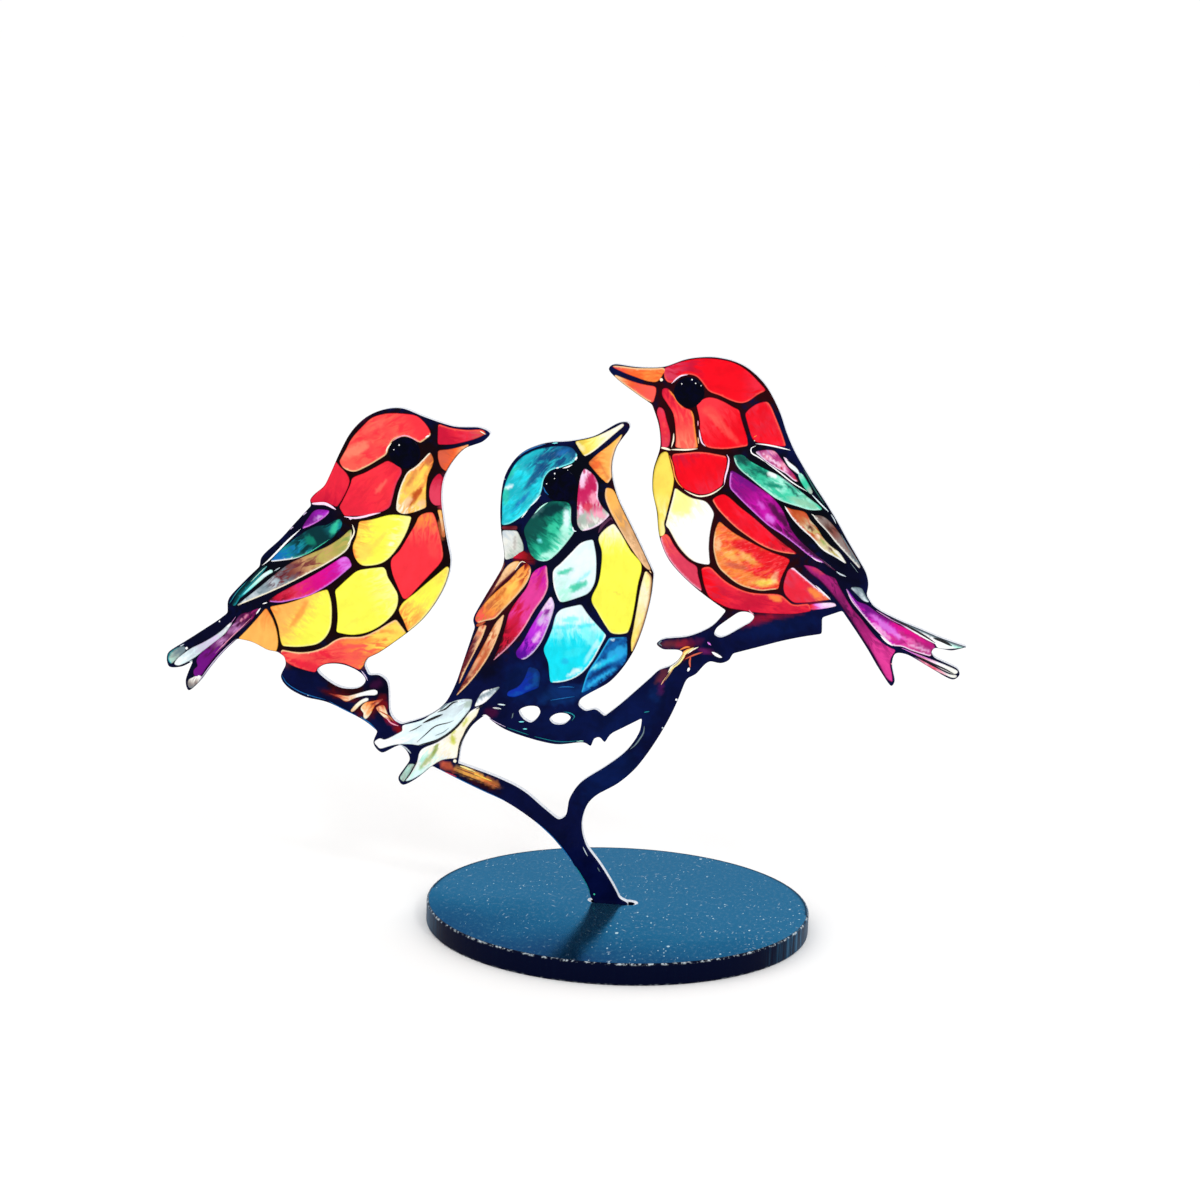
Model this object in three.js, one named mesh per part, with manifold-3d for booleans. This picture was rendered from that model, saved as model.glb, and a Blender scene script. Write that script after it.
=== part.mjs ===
// A desk ornament: three songbirds on a forked branch, cut as one flat steel plate that stands
// in a slot in a round steel base. Millimetres, +Z up, the front of the plate looks along -Y.
// The origin is the centre of the base's underside.
import * as THREE from 'three';
import { mergeVertices } from 'three/addons/utils/BufferGeometryUtils.js';
import Module from 'manifold-3d';

const wasm = await Module();
wasm.setup();

// Driving dimensions
const BASE_RADIUS = 47.5;
const BASE_THICKNESS = 5.4;
const BASE_CHAMFER = 0.5;
const PLATE_THICKNESS = 2.4;
const SLOT_DEPTH = 4;
const SLOT_LEFT = -6.8;
const SLOT_RIGHT = 4.3;
const TAB_LEFT = -5.8;
const TAB_RIGHT = 2.6;
const FIT_GAP = 0.3;

// How finely a round edge is divided
const BASE_SIDES = 96;
const SLOT_END_SIDES = 10;
const SAMPLE_STEP = 0.1;
const LONGEST_STEP = 5;
const TURN_STEP = THREE.MathUtils.degToRad(9);

const SLOT_FLOOR = BASE_THICKNESS - SLOT_DEPTH;
const SLOT_WIDTH = PLATE_THICKNESS + 2 * FIT_GAP;
const TAB_BOTTOM = SLOT_FLOOR + FIT_GAP;
const SHOULDER = BASE_THICKNESS + FIT_GAP;

// Every point is [x, z] on the plate. An outline is a closed row of stretches: each stretch is
// one smooth curve, it starts where the stretch before it ended, and two stretches meet in a
// corner. A stretch of one point is a straight line. Where two outlines overlap, the lines
// inside the overlap are short cuts that nothing shows of.
const LEFT_BIRD = [
  // crown, beak, breast and belly, from the nape to the leg
  [
    [-79.8, 102.2], [-79, 103.5], [-76.3, 106], [-73.2, 113], [-69.4, 120.2], [-64.7, 124.4],
    [-58, 126.2], [-50.8, 124.1], [-44, 122.4], [-37.6, 122.4], [-35.4, 121.2], [-37, 119.2],
    [-41.7, 117], [-46.2, 110.5], [-47, 105], [-45.8, 96.5], [-44.3, 88.9], [-45.7, 82.6],
    [-50.7, 74.4], [-57.2, 68.5], [-61.6, 65.1], [-64.6, 63.3], [-65.3, 61.5], [-64.2, 59.1],
  ],
  // behind the perch
  [[-66, 54]],
  [[-84, 58]],
  [[-85.7, 62.3]],
  // under the tail
  [[-87.4, 63.4], [-90, 63.8], [-93.5, 65.4], [-97.8, 66.2]],
  // lower and upper tail feather
  [[-102.8, 61], [-107.6, 54.4], [-110.3, 52.1], [-111.1, 54.2], [-109.2, 59.7]],
  [
    [-112, 58.1], [-115.4, 57.9], [-115.8, 61.1], [-112.2, 63.9], [-108, 66.9],
    [-103.3, 70.2], [-100.4, 72.6],
  ],
  // back edge of the folded wing
  [[-100.3, 75.8], [-98.1, 78.8], [-92.3, 84.9]],
  [[-92, 87], [-87.2, 92], [-82.3, 97.7], [-79.5, 100.9]],
];

const LEFT_PERCH = [
  [[-64.2, 59.1]],
  [[-61.6, 59.3], [-59.6, 57.8], [-59, 54.3], [-58.7, 50], [-57.5, 48.1], [-55.7, 47.2]],
  [[-58, 44]],
  [[-61.7, 45]],
  [
    [-64.2, 46.9], [-70, 49.7], [-75, 51.6], [-80, 52.4], [-84.9, 54.7], [-86.6, 57.2],
    [-85.4, 60.4], [-85.7, 62.3],
  ],
  [[-66, 62]],
];

const MIDDLE_BIRD = [
  // wing, back, crown and bill, from the top of the tail to the bill's tip
  [[-42.5, 57.8], [-40.8, 63.2], [-37.8, 73.1]],
  [
    [-38.3, 74.8], [-37.5, 77.2], [-34, 83.6], [-31.1, 89.8], [-32, 97.8], [-32.3, 104.6],
    [-31.2, 111.6], [-27.6, 116.8], [-21.8, 119.6], [-15.5, 120.5], [-9.9, 122], [-3.6, 125.7],
    [-1.8, 125.7], [-1.3, 124.6], [-4.2, 119.9], [-5.3, 114.5], [-3.9, 108.2], [0.6, 99.5],
    [5.9, 89.3],
  ],
  // breast and belly, then behind the perch
  [[5.6, 84.6], [4, 76.6], [1.3, 68.9], [-3.6, 61.9], [-11.1, 56.6], [-11.5, 55]],
  [[-14, 50]],
  [[-33, 51.5]],
  [[-34.8, 51]],
  // right edge of the tail, then behind the left limb
  [[-37.6, 48.4], [-40.2, 43.8], [-41.1, 38.3]],
  [[-44, 36.4]],
  [[-47.7, 37.1]],
  // the two tail tips and the upper edge of the tail
  [
    [-51.4, 33.7], [-55.1, 31.7], [-56.2, 33.3], [-53.4, 38.6], [-55.8, 41.7], [-60.6, 39.6],
    [-62.7, 41.8], [-61.7, 45],
  ],
  [[-58, 46]],
  [[-55.7, 47.2]],
  [[-49.6, 49.6], [-46, 52.1], [-44.2, 54.3]],
];

const MIDDLE_PERCH = [
  [[-11.5, 55]],
  [[-9.7, 53.9], [-7.2, 54.4], [-4.9, 52.8]],
  [[-2.8, 54.6], [0, 57.2], [4, 61.2], [8.2, 65.4]],
  [[10, 56]],
  [[4.4, 53]],
  // underside with the two claw tips
  [[0, 50.4], [-3.2, 48.4], [-4.6, 46.1]],
  [[-5.9, 47.4], [-7.2, 47], [-8, 44.9]],
  [[-9.6, 45.8], [-16.3, 44.9], [-23.2, 45.9], [-30.1, 48], [-34.8, 51]],
  [[-30, 57]],
];

const BRANCH = [
  // foot, left edge of the stem and underside of the left limb
  [[TAB_LEFT, TAB_BOTTOM]],
  [[TAB_LEFT, SHOULDER]],
  [[-6.4, SHOULDER]],
  [[-7.3, 8.2], [-12.1, 15.6], [-18.2, 22.3], [-27.9, 28.8], [-36.7, 32.4], [-47.7, 37.1]],
  [[-46, 39.5]],
  [[-40.9, 38.2]],
  // top of the left limb, fork, left edge of the right limb
  [
    [-31.1, 35.3], [-24.5, 32.4], [-16.8, 26.5], [-15.3, 25.8], [-13.7, 26.9], [-12.9, 31.2],
    [-10.4, 35.4], [-4.4, 40], [0.9, 44.6], [3.9, 49.6], [4.4, 53],
  ],
  [[8.2, 65.4]],
  // toe and top of the right perch
  [[10.4, 66.3], [12.5, 67.9], [13.9, 70.2]],
  [[12.8, 70.7], [8.7, 70.7], [7.3, 71.9], [8.7, 73.1], [15, 74.3], [20.6, 77.2], [23.9, 81.2]],
  [[30, 84]],
  [[47.1, 82]],
  // sawn end and underside of the right perch
  [[47.3, 77]],
  [[40, 75.3], [32, 72.7], [26, 70.7]],
  [[25, 68.9], [23.1, 68.1], [20.3, 68.3], [17.2, 65]],
  // right edge of the right limb and the stem
  [
    [15.1, 63.6], [13.6, 59.6], [11, 53.2], [7.4, 46.4], [3.2, 40.1], [-1.3, 35.8],
    [-5, 33.6], [-8.2, 30.4], [-9.6, 25.4], [-8.4, 19.9], [-4.4, 14.6], [-0.6, 8.8],
    [0.6, 6.6], [TAB_RIGHT, SHOULDER],
  ],
  [[TAB_RIGHT, TAB_BOTTOM]],
];

const RIGHT_BIRD = [
  // belly, breast and throat, from the leg to the bill
  [
    [19.8, 83.8], [14.4, 87.8], [9.4, 92.9], [6.9, 98.4], [6.2, 103.6], [4.8, 109.4],
    [4.8, 114.6], [6.2, 120], [5.7, 125.4], [3.9, 130.4],
  ],
  // bill, crown, back and wing
  [
    [0, 132.8], [-4.8, 136.1], [-6.9, 138.4], [-6, 139.5], [0, 139.2], [6.3, 139.6],
    [11.8, 141.7], [18.6, 142.5], [25.2, 141], [30.6, 136.8], [34.6, 130.2], [37.4, 123.2],
    [42, 115.6], [48.6, 106.2], [53.4, 98.4], [57.1, 92.6], [57.8, 89.8], [57.5, 87.2],
  ],
  // upper tail feather
  [[59.2, 84.8], [63, 82.6], [70, 80], [76.7, 77.6], [82.2, 76.1]],
  [[78.6, 75], [74.5, 75.3], [73.8, 74.2], [74.6, 72.9]],
  // middle and lower tail feather
  [
    [77.6, 71.6], [80.2, 70.6], [80.8, 69.2], [79.4, 67.9], [74.2, 70.2], [67.6, 73.4],
    [65.2, 73.3], [64.5, 70.8], [65.4, 66.4], [64.7, 65.3], [62.8, 67.4], [57.7, 75.1], [51.9, 83],
  ],
  // sliver over the sawn end, then behind the perch
  [[47.1, 81]],
  [[40, 79]],
  [[23.9, 81.2]],
];

// Openings between legs and perches, each one smooth closed curve
const LEG_HOLES = [
  [
    [-77.3, 59.5], [-75.6, 61], [-71, 61.4], [-66.2, 59.5], [-65, 57.8], [-66.4, 55.9],
    [-70.9, 55.4], [-74.6, 57],
  ],
  [[-26.2, 52.7], [-24.2, 54], [-21.5, 54], [-20.9, 52.6], [-23, 50], [-25, 50.7]],
  [[-18.5, 51.2], [-16.8, 52.7], [-14.2, 52.8], [-13.3, 51.9], [-14.8, 50.2], [-17.4, 50]],
  [
    [30.7, 80.2], [29.6, 81.1], [27.2, 81.1], [24.4, 78.9], [21.7, 76.7], [21.3, 75.2],
    [22.6, 74.5], [24.2, 75], [27.1, 77.1], [30, 78.8],
  ],
];

const PLATE_PIECES = [LEFT_BIRD, LEFT_PERCH, MIDDLE_BIRD, MIDDLE_PERCH, BRANCH, RIGHT_BIRD];

// Points along a smooth curve, its first one left out: a new one wherever the curve has
// turned by TURN_STEP or run on for LONGEST_STEP.
function pointsAlong(knots, closed) {
  const corners = knots.map(([x, z]) => new THREE.Vector3(x, z, 0));
  if (corners.length === 2 && !closed) {
    return [corners[1]];
  }
  const curve = new THREE.CatmullRomCurve3(corners, closed, 'centripetal');
  const samples = curve.getSpacedPoints(Math.ceil(curve.getLength() / SAMPLE_STEP));
  const kept = [];
  let last = samples[0];
  let heading = samples[1].clone().sub(samples[0]);
  for (let i = 1; i < samples.length - 1; i++) {
    const ahead = samples[i + 1].clone().sub(samples[i]);
    const run = samples[i].distanceTo(last);
    if (ahead.angleTo(heading) > TURN_STEP || run > LONGEST_STEP) {
      kept.push(samples[i]);
      last = samples[i];
      heading = ahead;
    }
  }
  kept.push(samples.at(-1));
  return kept;
}

function cornered(stretches) {
  const path = [];
  let start = stretches.at(-1).at(-1);
  for (const stretch of stretches) {
    path.push(...pointsAlong([start, ...stretch], false));
    start = stretch.at(-1);
  }
  return new THREE.Shape(path.map(({ x, y }) => new THREE.Vector2(x, y)));
}

function rounded(loop) {
  return new THREE.Shape(pointsAlong(loop, true).map(({ x, y }) => new THREE.Vector2(x, y)));
}

function toSolid(geometry) {
  const bare = geometry.clone();
  bare.deleteAttribute('normal');
  bare.deleteAttribute('uv');
  const merged = mergeVertices(bare, 1e-4);
  return new wasm.Manifold(new wasm.Mesh({
    numProp: 3,
    vertProperties: new Float32Array(merged.attributes.position.array),
    triVerts: new Uint32Array(merged.index.array),
  }));
}

function toGeometry(solid) {
  const mesh = solid.getMesh();
  const geometry = new THREE.BufferGeometry();
  geometry.setAttribute('position', new THREE.BufferAttribute(mesh.vertProperties, 3));
  geometry.setIndex(new THREE.BufferAttribute(mesh.triVerts, 1));
  geometry.computeVertexNormals();
  return geometry;
}

// A shape drawn in [x, z], made thickness deep and centred on the plane y = 0
function upright(shape, thickness) {
  const geometry = new THREE.ExtrudeGeometry(shape, { depth: thickness, bevelEnabled: false });
  geometry.rotateX(Math.PI / 2);
  geometry.translate(0, thickness / 2, 0);
  return toSolid(geometry);
}

function birdPlate() {
  const pieces = PLATE_PIECES.map((piece) => upright(cornered(piece), PLATE_THICKNESS));
  const cutters = LEG_HOLES.map((hole) => upright(rounded(hole), 2 * PLATE_THICKNESS));
  const joined = pieces.reduce((plate, piece) => plate.add(piece));
  const pierced = cutters.reduce((plate, cutter) => plate.subtract(cutter), joined);
  const steel = new THREE.MeshStandardMaterial({ color: 0x11122b, roughness: 0.25, metalness: 0.4 });
  const mesh = new THREE.Mesh(toGeometry(pierced), steel);
  mesh.name = 'bird_plate';
  return mesh;
}

// The slot's round-ended outline, cut from the slot's floor up through the top of the base
function slotCutter() {
  const radius = SLOT_WIDTH / 2;
  const shape = new THREE.Shape();
  shape.absarc(SLOT_LEFT + radius, 0, radius, Math.PI / 2, 1.5 * Math.PI, false);
  shape.absarc(SLOT_RIGHT - radius, 0, radius, -Math.PI / 2, Math.PI / 2, false);
  const geometry = new THREE.ExtrudeGeometry(shape, {
    depth: 2 * SLOT_DEPTH,
    bevelEnabled: false,
    curveSegments: SLOT_END_SIDES,
  });
  geometry.translate(0, 0, SLOT_FLOOR);
  return toSolid(geometry);
}

function baseDisc() {
  const inner = BASE_RADIUS - BASE_CHAMFER;
  const profile = [
    new THREE.Vector2(0, 0),
    new THREE.Vector2(inner, 0),
    new THREE.Vector2(BASE_RADIUS, BASE_CHAMFER),
    new THREE.Vector2(BASE_RADIUS, BASE_THICKNESS - BASE_CHAMFER),
    new THREE.Vector2(inner, BASE_THICKNESS),
    new THREE.Vector2(0, BASE_THICKNESS),
  ];
  const disc = new THREE.LatheGeometry(profile, BASE_SIDES);
  disc.rotateX(Math.PI / 2);
  const slotted = toSolid(disc).subtract(slotCutter());
  const steel = new THREE.MeshStandardMaterial({ color: 0x2f4a63, roughness: 0.5, metalness: 0.3 });
  const mesh = new THREE.Mesh(toGeometry(slotted), steel);
  mesh.name = 'base_disc';
  return mesh;
}

const group = new THREE.Group();
group.add(baseDisc(), birdPlate());

export default group;
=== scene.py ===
"""Looks of the songbird desk ornament: a cut steel plate with a glossy print in the manner of
stained glass, standing in a satin blue disc. Lengths are millimetres until a mesh is made."""
import math
from dataclasses import dataclass, field

import bmesh
import bpy
import numpy as np
from mathutils import Matrix, Vector, geometry, kdtree, noise


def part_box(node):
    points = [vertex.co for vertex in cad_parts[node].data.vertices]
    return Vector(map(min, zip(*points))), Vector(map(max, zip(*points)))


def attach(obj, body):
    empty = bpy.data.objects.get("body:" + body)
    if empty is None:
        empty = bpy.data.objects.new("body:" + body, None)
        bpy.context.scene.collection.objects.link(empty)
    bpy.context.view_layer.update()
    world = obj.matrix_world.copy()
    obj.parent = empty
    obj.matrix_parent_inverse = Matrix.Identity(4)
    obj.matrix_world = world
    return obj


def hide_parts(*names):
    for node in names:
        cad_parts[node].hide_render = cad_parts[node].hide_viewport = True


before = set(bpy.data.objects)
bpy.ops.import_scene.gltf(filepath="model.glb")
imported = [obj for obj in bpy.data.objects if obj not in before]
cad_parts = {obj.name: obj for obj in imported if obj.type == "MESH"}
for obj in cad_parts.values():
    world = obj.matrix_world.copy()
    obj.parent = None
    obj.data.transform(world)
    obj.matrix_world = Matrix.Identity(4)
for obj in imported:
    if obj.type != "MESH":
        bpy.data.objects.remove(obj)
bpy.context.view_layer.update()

MM = 0.001
TINY = 1e-9

# The plate. ARRIS is the radius of its rounded edges.
PLATE_LOW, PLATE_HIGH = (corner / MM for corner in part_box("bird_plate"))
FACE = PLATE_HIGH.y
ARRIS = 0.22

# What stands on the plate: each shape's height, and ROOT for how deep it reaches into the plate
PANE_RISE = 0.14
PANE_CROWN = 0.1
STROKE_RISE = 0.32
EYE_RISE = 0.6
CATCHLIGHT_RISE = 0.1
ROOT = 0.3

# How far in a pane's rounded edge ends, and the reach over which its low crown rises
PANE_ROUND = 0.4
CROWN_REACH = 2.5

# How far panes grow past their outlines, and stay clear of the plate's edge
PANE_GROWTH = 0.12
EDGE_MARGIN = 0.1

# A stroke's section as (part of the half width, height), and the taper of its ends: how late
# it starts, how sharp it gets, and what keeps its tips from closing
STROKE_SECTION = ((-1, -ROOT), (-1, STROKE_RISE - 0.1), (-0.5, STROKE_RISE - 0.02),
                  (0.5, STROKE_RISE - 0.02), (1, STROKE_RISE - 0.1), (1, -ROOT))
TAPER_LATENESS = 2.5
TAPER_SHARPNESS = 0.7
TAPER_TIP = 0.06

# How finely the meshes are divided: steps along edges, insets of the rows of points beside
# them, and the spacing of the grids inside
PLATE_STEP = 0.5
PLATE_GRID = 0.75
PLATE_INSETS = (0.06, 0.14, 0.24)
PANE_STEP = 0.35
PANE_GRID = 0.55
PANE_INSETS = (0.1, 0.22, 0.4, 0.7)
BACK_STEP = 0.6
BACK_GRID = 1.1
STROKE_STEP = 0.25
SLOT_STEP = 0.4
DISC_SIDES = 240
DISC_GRID = 3
DISC_INSETS = (0.06, 0.15, 0.28, 0.5)
DOT_SIDES_PER_MM = 24
FEWEST_DOT_SIDES = 16
DOT_INSETS = (0.06, 0.18, 0.36)
FINEST_DOT_GRID = 0.1
CLOSEST_POINTS = 0.12
JOIN_DISTANCE = 1e-6

# Turns above these are corners, in degrees
CAD_CORNER = 26
PANE_CORNER = 52
MESH_CORNER = 40

# The disc
DISC_ARRIS = 0.5
SLOT_DEPTH = 4
LIP_WIDTH = 0.8
LIP_DROP = 0.3
# Width of the dark line of painted shade along the far half of the disc's top edge
FAR_SHADE_WIDTH = 1.2

# From where to where the runs on the disc's side are painted clearer and lighter, left and right of its
# middle: painted sheen where the side turns away
SHEEN_START, SHEEN_FULL = 38, 47.4

# Rings round the disc's two rounded edges, downwards, as (degrees of bend, wear of the enamel)
TOP_RINGS = ((67, 0.9), (45, 0.9), (22, 0.5), (0, 0))
FOOT_RINGS = ((0, 0), (30, 0.3), (60, 0.5), (90, 0))

# The disc's specks as (cells in a millimetre, rarity, greatest radius in cells), and the ways
# that its hairs lie, in degrees
SPECKS = ((0.75, 0.55, 0.19), (1.3, 0.6, 0.22), (0.3, 0.66, 0.13))
HAIR_TURNS = (25, 100, 155)

# A spot's ragged edge as (amount, size, seed), and in parts of its half size, how far it
# reaches and over how much of that it fades
SPOT_WANDER = ((0.35, 1.1, 3.7), (0.2, 0.5, 9.1))
SPOT_REACH = 1.25
SPOT_FADE = 0.6

# A pane's rim shows where its edge faces the rim's side by more than this, and is this wide.
# Each has the stretch that it fades over
RIM_FACING = 0.25
RIM_FACING_FADE = 0.4
RIM_WIDTH = 0.5
RIM_WIDTH_FADE = 0.3

# Marble times the gain has to pass the start before clouds and fibres show
CLOUD_GAIN = 5
CLOUD_START = 0.6

# How far apart the panes lie in the noise that makes their grain
GRAIN_APART = 17.3

# The studio, in metres and watts: lights as (name, place, width, power)
AMBIENT = 1.03
LIGHT_AIM = (0, 0, 0.08)
LIGHTS = (("key", (0.55, -0.75, 0.75), 0.2, 2), ("fill", (-0.9, -0.5, 0.5), 0.3, 0.5))
FLOOR_WIDTH = 40
FLOOR_GREYS = (0.975, 0.985)

# The camera
LENS = 85
SENSOR = 36
CAMERA_AZIMUTH = math.radians(8)
CAMERA_ELEVATION = math.radians(11.55)
CAMERA_ROLL = math.radians(2.05)
CAMERA_DISTANCE = 690.2
AIM_ALONG, AIM_HEIGHT = -7.1, 81.85

PALETTE = {
    # reds and pinks
    "scarlet": 0xEE0A1E, "poppy": 0xF83440, "crimson": 0xE6263C, "ruby": 0xC81436, "coral": 0xF65A4E,
    "salmon": 0xFD8468, "rosered": 0xD83C58, "blood": 0x8A0E16, "raspberry": 0xC4205A,
    "maroon": 0x560A16, "oxblood": 0x6C2A34, "brick": 0xD05A40, "rose": 0xE03C96, "blush": 0xF4A0B8,
    "fuchsia": 0xD80C84, "magenta": 0xC814A8, "berry": 0xA01E6E,
    # the leads between panes
    "lead_warm": 0x160404, "lead_red": 0x2C0408, "lead_cold": 0x04041C,
    # oranges and browns
    "tangerine": 0xF4602C, "orange": 0xFA8E40, "apricot": 0xFDB458, "peach": 0xF8C896,
    "terracotta": 0xC4683C, "rust": 0xB84A1C, "brown": 0x7E4038, "umber": 0x4A2018, "tan": 0xC49468,
    "taupe": 0x8C7C78, "sand": 0xDCCEA8,
    # yellows
    "lemon": 0xFAF650, "canary": 0xFFF894, "gold": 0xFCD858, "butter": 0xFCEA96, "cream": 0xFFF6DC,
    "mustard": 0xD8C04C,
    # whites and greys
    "white": 0xFFFFFF, "silver": 0xD0D4DE, "steel": 0xE6E9F0, "ice": 0xE4F8FC, "mist": 0xC4D0D8,
    "pearl": 0xEEEEE6, "slate": 0x6C8088,
    # greens
    "pine": 0x0A4C46, "emerald": 0x108A70, "jade": 0x38C8A0, "mint": 0xB8F4E2, "moss": 0x8CA050,
    "olive": 0xB8A858, "sage": 0xA8BAAE, "lime": 0xC8D04C, "celadon": 0x8CC8A8,
    # the disc: ground and reflection tint painted darker at the front and lighter at the back, and the
    # side's ground painted near black, all as shade
    "ground_front": 0x144A70, "ground_back": 0x2E7098, "shaded_ground": 0x020620, "tint_front": 0x95AFC7,
    "tint_back": 0xA9BED1,
    # blues
    "deepteal": 0x043036, "teal": 0x128894, "sea": 0x18B4C4, "cyan": 0x14DCEE, "aqua": 0x84F4F8,
    "sky": 0x2CACE4, "azure": 0x0F68B0, "petrol": 0x084A7C, "cobalt": 0x0A2CA0, "deepblue": 0x082C66,
    "navy": 0x050C38, "midnight": 0x04174A, "ink": 0x04050F, "lens": 0x05062A,
    # purples
    "lilac": 0xD8C4E8, "orchid": 0xDC78E4, "violet": 0xB82CD4, "purple": 0x6E0F7D, "grape": 0x5A0A94,
    "mulberry": 0x960C80, "plum": 0x460C3C, "mauve": 0xC084BC, "pinkwhite": 0xFCDCF6,
}


@dataclass
class Pane:
    """One field of enamel. outline is a loop of "x,z" points on the plate. tones are the colours
    that follow each other along heading (degrees, 0 to the right and 90 up). rim is a colour and
    the side it lies on. marble is how far the tones run into each other. A spot is (x, z, half
    length, half width, turn, colour, strength)."""

    outline: str
    tones: str
    heading: float
    rim: tuple = ()
    spots: list = field(default_factory=list)
    marble: float = 0.1


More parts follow.
